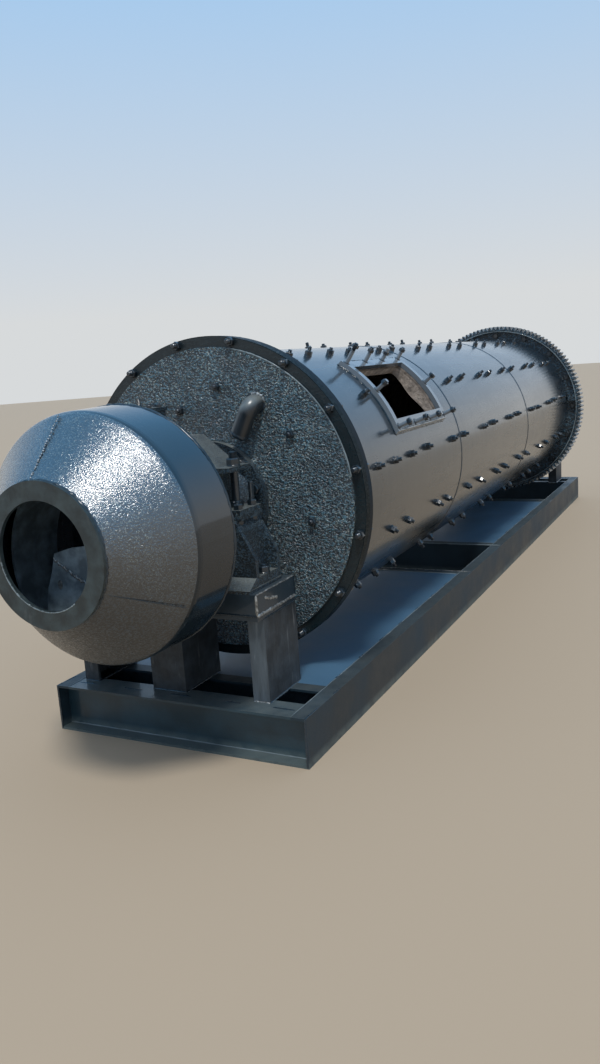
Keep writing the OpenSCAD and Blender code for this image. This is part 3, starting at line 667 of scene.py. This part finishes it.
class MILL_OT_shell_bolts(bpy.types.Operator):
    """Nuts and bolt ends that hold the liner, in rows along the shell."""

    bl_idname = "mill.shell_bolts"
    bl_label = "Shell bolts"

    # pairs of bolts along a row, behind the feed rim's face, for the two kinds of row
    even_row = (390, 640, 915, 1195, 1690, 1955, 2475, 2750, 3270, 3545, 4085, 4345, 4870, 5135, 5560)
    odd_row = (650, 920, 1450, 1680, 2150, 2480, 2960, 3230, 3710, 4035, 4600, 4915, 5370, 5620)

    def execute(self, context):
        s = context.scene.mill_sizes
        rng = random.Random(7)
        mesh = bmesh.new()
        low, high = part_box("manhole_frame")
        for row in range(s.liner_rows):
            angle = s.first_row + 360.0 * row / s.liner_rows
            for place_mm in self.odd_row if row % 2 else self.even_row:
                y = along_mill(place_mm / 1000 + rng.uniform(-0.012, 0.012))
                if row in (1,) and low.y - 0.05 < y < high.y + 0.05:
                    continue
                a = angle + rng.uniform(-0.6, 0.6)
                m = on_drum(a, SHELL_R - 0.001, y)
                add_washer(mesh, m, s.nut_width * 0.6, 0.005, 12)
                lift = m @ Matrix.Translation((0, 0, 0.005)) @ Matrix.Rotation(rng.uniform(-0.05, 0.05), 4, "X")
                add_nut(mesh, lift, s.nut_width, s.nut_height, rng.random())
                add_stub(mesh, lift, s.nut_width * 0.3, s.nut_height, s.stub_length + rng.uniform(-0.006, 0.008))
        make_piece("shell_bolts", mesh, finish_named("bolt_black"), DRUM, 30.0)
        return {"FINISHED"}


class MILL_OT_shell_seams(bpy.types.Operator):
    """Welds between the shell courses and along the feed flange."""

    bl_idname = "mill.shell_seams"
    bl_label = "Shell seams"

    def execute(self, context):
        s = context.scene.mill_sizes
        mesh = bmesh.new()
        steps = 220
        for seed, y in enumerate(SEAMS):
            for shift in (-0.0035, 0.0035):
                points, normals = [], []
                for i in range(steps):
                    a = 360.0 * i / steps
                    points.append(drum_point(a, SHELL_R, y + shift))
                    normals.append((drum_point(a, 2, 0) - drum_point(a, 1, 0)).normalized())
                loop_bead(mesh, points, 0.0055, True, 6, 0.12, s.seam_height / 0.0055, normals, seed + 3)
        rng = random.Random(11)
        add_ring_bead(mesh, FLANGE_HIGH.y + 0.002, SHELL_R + 0.002, 0.009, rng, steps, 1.0)
        make_piece("shell_seams", mesh, finish_named("weld_black"), DRUM, 60.0)
        return {"FINISHED"}


class MILL_OT_head_bolts(bpy.types.Operator):
    """Flange nuts round both heads, their bolt heads, the head liner bolts, and a painted highlight along part of the
    feed disc's edge.
    """

    bl_idname = "mill.head_bolts"
    bl_label = "Head bolts"

    def execute(self, context):
        s = context.scene.mill_sizes
        rng = random.Random(21)
        ring_r = FLANGE_R - 0.022
        mesh = bmesh.new()
        for i in range(s.flange_bolts):
            a = 11.25 + 360.0 * i / s.flange_bolts
            front = axes(drum_point(a, ring_r, RIM_FACE), (0, -1, 0), (1, 0, 0))
            add_nut(mesh, front, s.flange_nut_width * 0.8, 0.024, rng.random())
            add_stub(mesh, front, 0.0125, 0.024, 0.026 + rng.uniform(-0.004, 0.008))
            back = axes(drum_point(a, ring_r, FLANGE_HIGH.y), (0, 1, 0), (1, 0, 0))
            add_nut(mesh, back, s.flange_nut_width * 0.8, 0.022, rng.random())
        make_piece("feed_flange_bolts", mesh, finish_named("bolt_black"), DRUM, 30.0)
        mesh = bmesh.new()
        for angle, radius in ((84, 0.581), (36, 0.566), (-10, 0.556), (-57, 0.575), (-102, 0.58), (-146, 0.575),
                              (170, 0.57), (124, 0.59), (110, 0.497)):
            m = axes(drum_point(angle, radius, DISC_FACE + 0.001), (0, -1, 0), (1, 0, 0))
            add_bolt(mesh, m, s.nut_width, s.nut_height, 0.012, rng, 0.3)
        make_piece("feed_head_liner_bolts", mesh, finish_named("bolt_black"), DRUM, 30.0)
        mesh = bmesh.new()
        # pale bead along the upper right of the disc's edge: painted highlight
        arc = [drum_point(1.5 * i, DISC_R - 0.001, DISC_FACE + 0.002) for i in range(6, 54)]
        add_bead(mesh, arc, (0, -1, 0), 0.0038, rng, 0.012, 1.0, 0.0003)
        make_piece("feed_head_edge_highlight", mesh, finish_named("edge_highlight"), DRUM, 60.0)
        mesh = bmesh.new()
        end_face = DISCHARGE_RIM[1].y + 0.045
        for i in range(s.flange_bolts):
            a = 0.7 + 360.0 * i / s.flange_bolts
            back = axes(drum_point(a, 0.798, end_face), (0, 1, 0), (1, 0, 0))
            add_nut(mesh, back, s.flange_nut_width * 0.9, 0.026, rng.random())
            add_stub(mesh, back, 0.0135, 0.026, 0.02)
        for angle in range(0, 360, 45):
            m = axes(drum_point(angle + 20, 0.56, DRUM_END - 0.001), (0, 1, 0), (1, 0, 0))
            add_nut(mesh, m, 0.046, 0.028, rng.random())
            add_stub(mesh, m, 0.014, 0.028, 0.016)
        make_piece("discharge_head_bolts", mesh, finish_named("bolt_black"), DRUM, 30.0)
        return {"FINISHED"}


class MILL_OT_trunnion_bolts(bpy.types.Operator):
    """Bolts that hold each trunnion to its head."""

    bl_idname = "mill.trunnion_bolts"
    bl_label = "Trunnion bolts"

    def execute(self, context):
        mesh = bmesh.new()
        for face, way in ((DISC_FACE - 0.04, -1), (DRUM_END + 0.04, 1)):
            for i in range(12):
                m = axes(drum_point(30 * i + 15, 0.275, face), (0, way, 0), (1, 0, 0))
                add_nut(mesh, m, 0.041, 0.024, i * 0.37)
        make_piece("trunnion_bolts", mesh, finish_named("bolt_black"), DRUM, 30.0)
        return {"FINISHED"}


class MILL_OT_gear_bolts(bpy.types.Operator):
    """Web bolts of the girth gear and a painted highlight along the inner edge of its rim."""

    bl_idname = "mill.gear_bolts"
    bl_label = "Girth gear bolts"

    def execute(self, context):
        s = context.scene.mill_sizes
        rng = random.Random(5)
        mesh = bmesh.new()
        web_face = DISCHARGE_RIM[0].y - 0.035
        for i in range(s.flange_bolts):
            a = 0.7 + 360.0 * i / s.flange_bolts
            m = axes(drum_point(a, 0.798, web_face), (0, -1, 0), (1, 0, 0))
            add_washer(mesh, m, 0.03, 0.005)
            add_nut(mesh, m, s.flange_nut_width * 0.9, 0.03, rng.random())
        make_piece("gear_web_bolts", mesh, finish_named("bolt_black"), DRUM, 30.0)
        mesh = bmesh.new()
        # pale bead round the inner edge of the rim: painted highlight
        edge = GEAR_HIGH.z - AXIS - 0.054
        add_ring_bead(mesh, GEAR_LOW.y + 0.001, edge, 0.0035, rng, 240, 1.0, 0.2, 0.0004)
        make_piece("gear_rim_edge_highlight", mesh, finish_named("edge_highlight"), DRUM, 60.0)
        return {"FINISHED"}


class MILL_OT_feeder_welds(bpy.types.Operator):
    """Weld beads of the drum feeder, and a painted highlight along part of the rough edge of its flame-cut mouth."""

    bl_idname = "mill.feeder_welds"
    bl_label = "Feeder welds"

    def execute(self, context):
        size = context.scene.mill_sizes.bead
        rng = random.Random(31)
        cone, band, mouth = (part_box(n) for n in ("feeder_front_cone", "feeder_band", "feeder_mouth_ring"))
        cone_r, band_r, mouth_r = ((box[1].z - box[0].z) / 2 for box in (cone, band, mouth))
        mesh = bmesh.new()
        add_ring_bead(mesh, mouth[1].y + 0.001, mouth_r, size * 0.9, rng, 170, 0.8, 0.5, 0.0016)
        add_ring_bead(mesh, band[1].y, band_r, size, rng, 200, 0.8)
        make_piece("feeder_ring_welds", mesh, finish_named("weld_black"), DRUM, 60.0)
        mesh = bmesh.new()
        seams = [(a, cone[0].y, mouth_r, cone[1].y - 0.02, cone_r) for a in (-28, 96, 213)]
        seams += [(a, cone[1].y + 0.02, cone_r, band[1].y, band_r) for a in (31, 211)]
        for angle, y0, r0, y1, r1 in seams:
            out = drum_point(angle, 2, 0) - drum_point(angle, 1, 0)
            ends = (drum_point(angle, r0 - 0.002, y0), drum_point(angle + 0.4, r1 - 0.002, y1))
            add_bead(mesh, ends, out, 0.0022, rng, 0.009, 0.5, 0.0008)
        make_piece("feeder_seams", mesh, finish_named("weld_black"), DRUM, 60.0)
        mesh = bmesh.new()
        for i in range(26):
            t = (i + rng.uniform(-0.25, 0.25)) / 26
            point = drum_point(96 + 0.3 * math.sin(i), mouth_r + (cone_r - mouth_r) * t, cone[0].y + (cone[1].y - 0.02 - cone[0].y) * t)
            out = drum_point(96, 2, 0) - drum_point(96, 1, 0)
            spot = axes(point, out, (0, 1, 0))
            lathe(mesh, [(0.0045, -0.002), (0.004, 0.0015), (0.0015, 0.003)], spot, 8)
        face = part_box("feeder_partition")[0].y
        line = [Vector((x / 1000, face - 0.001, AXIS + z / 1000)) for x, z in ((-199, -81), (-117, -138), (-44, -178), (30, -224))]
        zigzag = []
        for a, b in zip(line, line[1:]):
            zigzag += [a.lerp(b, i / 9) + Vector((0, 0, 0.006 * (-1) ** i)) for i in range(9)]
        add_bead(mesh, zigzag, (0, -1, 0), 0.0055, rng, 0.009, 0.9, 0.001)
        make_piece("feeder_tacks", mesh, finish_named("weld_bare_and_highlight"), DRUM, 60.0)
        mesh = bmesh.new()
        # pale bead on the lower lip of the mouth: painted highlight
        arc = [drum_point(185 + 2.5 * i, MOUTH_R, mouth[0].y + 0.002) for i in range(50)]
        add_bead(mesh, arc, (0, -1, 0), 0.0032, rng, 0.012, 1.0, 0.0003)
        make_piece("mouth_edge_highlight", mesh, finish_named("edge_highlight"), DRUM, 60.0)
        mesh = bmesh.new()
        hole = axes(Vector((-0.181, face, AXIS - 0.193)), (0, -1, 0), (1, 0, 0))
        lathe(mesh, [(0.012, 0), (0.012, 0.002), (0.010, 0.003)], hole @ Matrix.Diagonal((1.0, 1.7, 1.0, 1.0)), 16)
        make_piece("partition_plug", mesh, finish_named("weld_bare_and_highlight"), DRUM, 60.0)
        return {"FINISHED"}


class MILL_OT_manhole_fittings(bpy.types.Operator):
    """Nuts, washers, bolt ends and edge welds on the studs and bars round the manhole."""

    bl_idname = "mill.manhole_fittings"
    bl_label = "Manhole fittings"

    # studs as angle, place behind the feed rim's face and rise over the shell, in degrees and mm
    studs = (
        (56.4, 780, 150), (56.4, 1053, 120), (56.4, 1326, 96), (56.4, 1599, 108),
        (21.6, 780, 108), (21.6, 1053, 116), (21.6, 1326, 104), (21.6, 1599, 112),
        (39.0, 777, 106), (39.0, 1603, 106),
    )

    def execute(self, context):
        rng = random.Random(17)
        low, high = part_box("manhole_frame")
        mesh = bmesh.new()
        for angle, place_mm, rise_mm in self.studs:
            y = along_mill(place_mm / 1000)
            foot = on_drum(angle, SHELL_R, y)
            top = rise_mm / 1000
            add_washer(mesh, foot @ Matrix.Translation((0, 0, 0.026)), 0.021, 0.005, 14)
            if top > 0.1:
                add_stub(mesh, foot, 0.0125, 0.1, top - 0.098, 12, 0.005)
            nut = foot @ Matrix.Translation((0, 0, top - rng.uniform(0.022, 0.03)))
            add_nut(mesh, nut, 0.036, 0.02, rng.random())
        make_piece("manhole_nuts", mesh, finish_named("bolt_black"), DRUM, 30.0)
        mesh = bmesh.new()
        half = 11.0
        inner, outer = 14.8, 20.0
        r = SHELL_R + 0.001
        y0, y1 = low.y, high.y
        for side in (-1, 1):
            a = 39.0 + side * outer
            out = drum_point(a, 2, 0) - drum_point(a, 1, 0)
            add_bead(mesh, (drum_point(a, r, y0), drum_point(a, r, y1)), out, 0.006, rng)
            b = 39.0 + side * (inner + 3.9)
            add_bead(mesh, (drum_point(b, r + 0.0265, y0 + 0.05), drum_point(b, r + 0.0265, y1 - 0.05)), out, 0.003, rng)
        for y in (y0, y1):
            arc = [drum_point(39.0 - outer + outer * i / half, r, y) for i in range(int(2 * half) + 1)]
            add_bead(mesh, arc, drum_point(39, 2, 0) - drum_point(39, 1, 0), 0.006, rng)
        make_piece("manhole_welds", mesh, finish_named("weld_black"), DRUM, 60.0)
        return {"FINISHED"}


class MILL_OT_horn_rim(bpy.types.Operator):
    """Thick rim at the horn's lower end and the weld round its root, whose upper right arc is drawn in bare metal as a
    painted highlight.
    """

    bl_idname = "mill.horn_rim"
    bl_label = "Horn rim"

    def execute(self, context):
        rng = random.Random(23)
        low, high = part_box("lifting_horn")
        way = Vector((math.cos(math.radians(-117.7)), 0, math.sin(math.radians(-117.7))))
        thick, radius = 0.047, 0.045
        tip = Vector((low.x - radius * way.z, low.y + thick, low.z - radius * way.x))
        root = Vector((high.x - thick, DISC_FACE, high.z - thick))
        mesh = bmesh.new()
        end = axes(tip - way * 0.006, way, (0, 1, 0))
        lathe(mesh, [(radius + 0.001, -0.012), (radius + 0.003, -0.006), (radius + 0.003, 0.004),
                     (radius - 0.001, 0.0075), (radius - 0.009, 0.0075)], end, 32)
        around = [math.radians(5 * i) for i in range(73)]
        ring = [root + Vector(((radius + 0.004) * math.cos(a), -0.002, (radius + 0.004) * math.sin(a))) for a in around]
        add_bead(mesh, ring[23:] + ring[1:2], (0, -1, 0), 0.006, rng, 0.006, 1.0)
        make_piece("horn_rim", mesh, finish_named("weld_black"), DRUM, 50.0)
        mesh = bmesh.new()
        # upper right arc of the root weld in bare metal: painted highlight
        add_bead(mesh, ring[1:24], (0, -1, 0), 0.008, rng, 0.006, 1.0)
        make_piece("horn_weld_highlight", mesh, finish_named("weld_bare_and_highlight"), DRUM, 60.0)
        return {"FINISHED"}


class MILL_OT_bearing_bolts(bpy.types.Operator):
    """Long cap bolts, split-flange studs, foot bolts and oil-box bolts of both bearings."""

    bl_idname = "mill.bearing_bolts"
    bl_label = "Bearing bolts"

    def execute(self, context):
        width = context.scene.mill_sizes.bearing_nut
        rng = random.Random(41)
        for end, inward in (("feed", 1), ("discharge", -1)):
            cap, base, bush = (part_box(f"{end}_bearing_{n}") for n in ("cap", "base", "bush"))
            middle = (bush[0].y + bush[1].y) / 2
            flange_half = cap[1].x
            flange_top = AXIS + 0.025
            flange_under = AXIS - 0.025
            ear_low, ear_top = AXIS + 0.198, AXIS + 0.22
            pad = base[0].z + 0.057
            mesh = bmesh.new()
            for side in (-1, 1):
                ear_x = side * (flange_half - 0.075)
                shaft = upright((ear_x, middle, flange_top))
                lathe(mesh, [(0.019, -0.003), (0.019, ear_low - flange_top + 0.003)], shaft, 20)
                add_nut(mesh, shaft, width * 1.15, 0.03, rng.random())
                add_washer(mesh, upright((ear_x, middle, ear_top)), width * 0.66, 0.006)
                add_bolt(mesh, upright((ear_x, middle, ear_top + 0.006)), width * 1.15, 0.03, 0.03, rng)
                stud_x = side * (flange_half - 0.03)
                for shift, rise in ((0.066 * inward, 0.085), (-0.066 * inward, 0.014)):
                    y = middle + shift
                    add_bolt(mesh, upright((stud_x, y, flange_top)), width * 0.8, 0.026, rise, rng, 0.34)
                    add_nut(mesh, axes((stud_x, y, flange_under), (0, 0, -1), (1, 0, 0)), width * 0.8, 0.022)
                foot = upright((side * 0.419, middle, pad))
                add_washer(mesh, foot, width * 0.6, 0.005)
                add_bolt(mesh, foot @ Matrix.Translation((0, 0, 0.005)), width, 0.027, 0.01, rng, 0.33)
            lid = cap[1].z
            for x, shift in ((-0.235, -0.04), (-0.235, 0.04), (-0.117, -0.04), (-0.117, 0.04)):
                rise = 0.03 if x < -0.2 and shift * inward > 0 else 0.006
                add_bolt(mesh, upright((x, middle + shift * inward, lid)), 0.024, 0.013, rise, rng)
            make_piece(f"{end}_bearing_bolts", mesh, finish_named("bolt_black"), SKID, 30.0)
        return {"FINISHED"}


class MILL_OT_pedestal_welds(bpy.types.Operator):
    """Fillet welds of the posts, the plates and the small channels under both bearings; some, such as those at the
    outer end and on the right post, are drawn in bare metal as painted highlights.
    """

    bl_idname = "mill.pedestal_welds"
    bl_label = "Pedestal welds"

    def execute(self, context):
        size = context.scene.mill_sizes.bead
        rng = random.Random(57)
        for end, out_y in (("feed", -1), ("discharge", 1)):
            plate, frame_box = (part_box(f"{end}_pedestal_{n}") for n in ("plate", "channels"))
            # bright takes the welds drawn in bare metal as painted highlights, dark the black ones
            bright, dark = bmesh.new(), bmesh.new()
            y0, y1 = plate[0].y, plate[1].y
            far = y0 if out_y < 0 else y1
            near = y1 if out_y < 0 else y0
            low, top = frame_box[0].z, frame_box[1].z
            for x, side in ((plate[1].x, 1), (plate[0].x, -1)):
                add_bead(bright, ((x, far, low), (x, near, low)), (side, 0, -0.2), size * 1.6, rng)
                add_bead(bright, ((x, far, low), (x, far, top)), (side, out_y, 0), size, rng)
                add_bead(dark, ((x, near, low), (x, near, top)), (side, -out_y, 0), size, rng)
                add_bead(bright, ((x, far, top), (x, near, top)), (side, 0, 1), size * 0.6, rng)
                # short bare-metal streak on the right side only: painted highlight
                lit_side_streak = ((x, far - out_y * 0.06, low + 0.073), (x, far - out_y * 0.21, low + 0.034))
                if side > 0:
                    add_bead(bright, lit_side_streak, (1, 0, 0), size * 1.2, rng, 0.01, 0.35, 0.003)
            for y, way in ((far, out_y), (near, -out_y)):
                add_bead(dark, ((plate[0].x, y, low), (plate[1].x, y, low)), (0, way, 0), size, rng)
            for which in ("left", "middle", "right"):
                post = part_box(f"{end}_post_{which}")
                a, b = post
                # the right post's welds are drawn bright, as painted highlights
                mesh = bright if which == "right" else dark
                feet = [Vector(c) for c in ((a.x, a.y, a.z), (b.x, a.y, a.z), (b.x, b.y, a.z), (a.x, b.y, a.z))]
                for p, q in zip(feet, feet[1:] + feet[:1]):
                    out = ((p + q) / 2 - Vector(((a.x + b.x) / 2, (a.y + b.y) / 2, a.z))).normalized() + Vector((0, 0, 1))
                    add_bead(mesh if abs(p.y - q.y) < 0.01 else dark, (p, q), out, size, rng)
                heads = [Vector((c.x, c.y, b.z)) for c in feet]
                for p, q in zip(heads, heads[1:] + heads[:1]):
                    add_bead(dark, (p, q), (0, 0, -1), size * 0.8, rng)
            make_piece(f"{end}_pedestal_weld_highlights", bright, finish_named("weld_bare_and_highlight"), SKID, 60.0)
            make_piece(f"{end}_pedestal_welds", dark, finish_named("weld_black"), SKID, 60.0)
        return {"FINISHED"}


class MILL_OT_skid_welds(bpy.types.Operator):
    """Welds of the skid's corners, its doubled channels and its floor plates, and painted highlights along some edges.
    """

    bl_idname = "mill.skid_welds"
    bl_label = "Skid welds"

    def execute(self, context):
        size = context.scene.mill_sizes.bead
        rng = random.Random(73)
        mesh = bmesh.new()
        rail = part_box("rail_right")
        for end, way in (("front_channels", -1), ("end_channels", 1)):
            low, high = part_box(end)
            face = low.y if way < 0 else high.y
            for x in (low.x, high.x):
                add_bead(mesh, ((x, face, low.z + 0.004), (x, face, high.z)), (0, way, 0), size * 0.8, rng)
                add_bead(mesh, ((x, low.y, SKID_TOP), (x, high.y, SKID_TOP)), (0, 0, 1), size * 0.7, rng, squash=0.5)
        for name in ("front_channels", "gear_front_channels", "end_channels"):
            low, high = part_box(name)
            middle = (low.y + high.y) / 2
            span = high.x - low.x
            for i in range(5):
                x = low.x + span * (0.06 + 0.2 * i)
                ends = ((x, middle, SKID_TOP), (x + span * 0.08, middle, SKID_TOP))
                add_bead(mesh, ends, (0, 0, 1), size * 0.8, rng, squash=0.5)
        for name in ("feed_channel", "pit_front_channel", "pit_rear_channel", "gear_front_channels", "discharge_channel"):
            low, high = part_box(name)
            for x in (low.x, high.x):
                add_bead(mesh, ((x, low.y, SKID_TOP), (x, high.y, SKID_TOP)), (0, 0, 1), size * 0.7, rng, squash=0.5)
        for name in ("floor_plate_feed", "floor_plate_middle"):
            low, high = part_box(name)
            z = high.z
            count = int((high.y - low.y) / 0.3)
            for x, side in ((low.x, -1), (high.x, 1)):
                for i in range(count):
                    y = low.y + 0.1 + 0.3 * i
                    add_bead(mesh, ((x, y, z), (x, y + 0.07, z)), (side, 0, 1), size * 0.8, rng)
        make_piece("skid_welds", mesh, finish_named("weld_black"), SKID, 60.0)
        # pale beads along edges of the front channel, the floor plates, the pit and the rails: painted highlights
        mesh = bmesh.new()
        low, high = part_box("front_channels")
        add_bead(mesh, ((low.x, low.y + 0.07, 0.013), (high.x, low.y + 0.07, 0.013)), (0, -1, 1), 0.003, rng, 0.02, 1.0, 0.0004)
        plates = [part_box(n) for n in ("floor_plate_feed", "floor_plate_middle")]
        for low, high in plates:
            for x in (low.x, high.x):
                add_bead(mesh, ((x, low.y, high.z), (x, high.y, high.z)), (0, 0, 1), 0.0026, rng, 0.04, 0.6, 0.0006)
        for y in (plates[0][1].y, plates[1][0].y):
            add_bead(mesh, ((low.x, y, high.z), (high.x, y, high.z)), (0, 0, 1), 0.005, rng, 0.03, 0.6, 0.0006)
        low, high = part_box("pit_rear_channel")
        add_bead(mesh, ((low.x, low.y, SKID_TOP), (high.x, low.y, SKID_TOP)), (0, -1, 1), 0.0055, rng, 0.03, 0.7, 0.0008)
        for name, side in (("rail_right", 0), ("rail_left", 1)):
            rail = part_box(name)
            x = rail[side].x
            ends = ((x, rail[0].y, SKID_TOP), (x, rail[1].y, SKID_TOP))
            add_bead(mesh, ends, (2 * side - 1, 0, 1), 0.0035, rng, 0.04, 0.7, 0.0005)
        make_piece("skid_edge_highlights", mesh, finish_named("edge_highlight"), SKID, 60.0)
        # bare-metal bead along the pit's edge: painted highlight
        mesh = bmesh.new()
        low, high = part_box("pit_front_channel")
        add_bead(mesh, ((low.x, high.y, SKID_TOP), (high.x, high.y, SKID_TOP)), (0, 0, 1), 0.0065, rng, 0.03, 0.6, 0.0008)
        make_piece("pit_edge_highlight", mesh, finish_named("weld_bare_and_highlight"), SKID, 60.0)
        return {"FINISHED"}


class MILL_OT_stage(bpy.types.Operator):
    """Floor, soft lights and the camera at the photograph's place."""

    bl_idname = "mill.stage"
    bl_label = "Studio"

    def execute(self, context):
        c = context.scene.mill_colours
        mesh = bmesh.new()
        bmesh.ops.create_circle(mesh, cap_ends=True, radius=70.0, segments=96)
        data = bpy.data.meshes.new("floor")
        mesh.to_mesh(data)
        mesh.free()
        floor = bpy.data.objects.new("floor", data)
        context.scene.collection.objects.link(floor)
        s = Shader("studio_floor")
        data.materials.append(s.finish(tuple(c.floor), 0.85))

        world = bpy.data.worlds.new("studio")
        context.scene.world = world
        world.use_nodes = True
        tree = world.node_tree
        tree.nodes.clear()
        output = tree.nodes.new("ShaderNodeOutputWorld")
        blend = tree.nodes.new("ShaderNodeMixShader")
        soft = tree.nodes.new("ShaderNodeBackground")
        soft.inputs["Color"].default_value = (0.70, 0.82, 1.0, 1)
        soft.inputs["Strength"].default_value = 0.6
        seen = tree.nodes.new("ShaderNodeBackground")
        place = tree.nodes.new("ShaderNodeTexCoord")
        split = tree.nodes.new("ShaderNodeSeparateXYZ")
        rise = tree.nodes.new("ShaderNodeMapRange")
        rise.inputs["From Min"].default_value = 0.06
        rise.inputs["From Max"].default_value = 0.56
        tint = tree.nodes.new("ShaderNodeMix")
        tint.data_type = "RGBA"
        tint.inputs[6].default_value = (*c.low_sky, 1)
        tint.inputs[7].default_value = (*c.high_sky, 1)
        tree.links.new(place.outputs["Generated"], split.inputs["Vector"])
        tree.links.new(split.outputs["Z"], rise.inputs["Value"])
        tree.links.new(rise.outputs["Result"], tint.inputs["Factor"])
        tree.links.new(tint.outputs[2], seen.inputs["Color"])
        path = tree.nodes.new("ShaderNodeLightPath")
        either = tree.nodes.new("ShaderNodeMath")
        either.operation = "MAXIMUM"
        any_of = tree.nodes.new("ShaderNodeMath")
        any_of.operation = "MAXIMUM"
        tree.links.new(path.outputs["Is Camera Ray"], either.inputs[0])
        tree.links.new(path.outputs["Is Glossy Ray"], either.inputs[1])
        tree.links.new(either.outputs["Value"], any_of.inputs[0])
        tree.links.new(path.outputs["Is Transmission Ray"], any_of.inputs[1])
        tree.links.new(any_of.outputs["Value"], blend.inputs["Fac"])
        tree.links.new(soft.outputs["Background"], blend.inputs[1])
        tree.links.new(seen.outputs["Background"], blend.inputs[2])
        tree.links.new(blend.outputs["Shader"], output.inputs["Surface"])

        sun = bpy.data.lights.new("key", "SUN")
        sun.energy = 1.9
        sun.angle = math.radians(12)
        sun.color = (1.0, 0.97, 0.92)
        key = bpy.data.objects.new("key", sun)
        key.rotation_mode = "QUATERNION"
        key.rotation_quaternion = Vector((0.195, -0.441, 0.876)).to_track_quat("Z", "Y")
        context.scene.collection.objects.link(key)

        camera = bpy.data.cameras.new("camera")
        camera.sensor_fit = "AUTO"
        camera.sensor_width = 36.0
        camera.lens = 29.307
        camera.clip_end = 300.0
        eye = bpy.data.objects.new("camera", camera)
        turn = (Matrix.Rotation(0.4764, 4, "Z") @ Matrix.Rotation(math.pi / 2 - 0.194, 4, "X")
                @ Matrix.Rotation(-0.0701, 4, "Z"))
        eye.matrix_world = Matrix.Translation((2.401, along_mill(-3.749), 1.794)) @ turn
        context.scene.collection.objects.link(eye)
        context.scene.camera = eye
        context.scene.view_settings.view_transform = "Standard"
        return {"FINISHED"}


class MILL_PT_panel(bpy.types.Panel):
    """Shows the mill's sizes and colours, and a button for each operator."""

    bl_label = "Ball mill"
    bl_idname = "MILL_PT_panel"
    bl_space_type = "VIEW_3D"
    bl_region_type = "UI"
    bl_category = "Mill"

    def draw(self, context):
        for settings in (context.scene.mill_sizes, context.scene.mill_colours):
            for key in settings.__annotations__:
                self.layout.prop(settings, key)
        for operator in OPERATORS:
            self.layout.operator(operator.bl_idname)


OPERATORS = (
    MILL_OT_finishes,
    MILL_OT_shell_bolts,
    MILL_OT_shell_seams,
    MILL_OT_head_bolts,
    MILL_OT_trunnion_bolts,
    MILL_OT_gear_bolts,
    MILL_OT_feeder_welds,
    MILL_OT_manhole_fittings,
    MILL_OT_horn_rim,
    MILL_OT_bearing_bolts,
    MILL_OT_pedestal_welds,
    MILL_OT_skid_welds,
    MILL_OT_stage,
)
CLASSES = (MillSizes, MillColours, *OPERATORS, MILL_PT_panel)


def register():
    """Registers the classes and the settings."""
    for item in CLASSES:
        bpy.utils.register_class(item)
    bpy.types.Scene.mill_sizes = PointerProperty(type=MillSizes)
    bpy.types.Scene.mill_colours = PointerProperty(type=MillColours)


def unregister():
    """Removes the settings and the classes."""
    del bpy.types.Scene.mill_colours
    del bpy.types.Scene.mill_sizes
    for item in reversed(CLASSES):
        bpy.utils.unregister_class(item)


def main():
    """Builds every piece in order."""
    register()
    for operator in OPERATORS:
        space, name = operator.bl_idname.split(".")
        getattr(getattr(bpy.ops, space), name)()


if __name__ == "__main__":
    main()
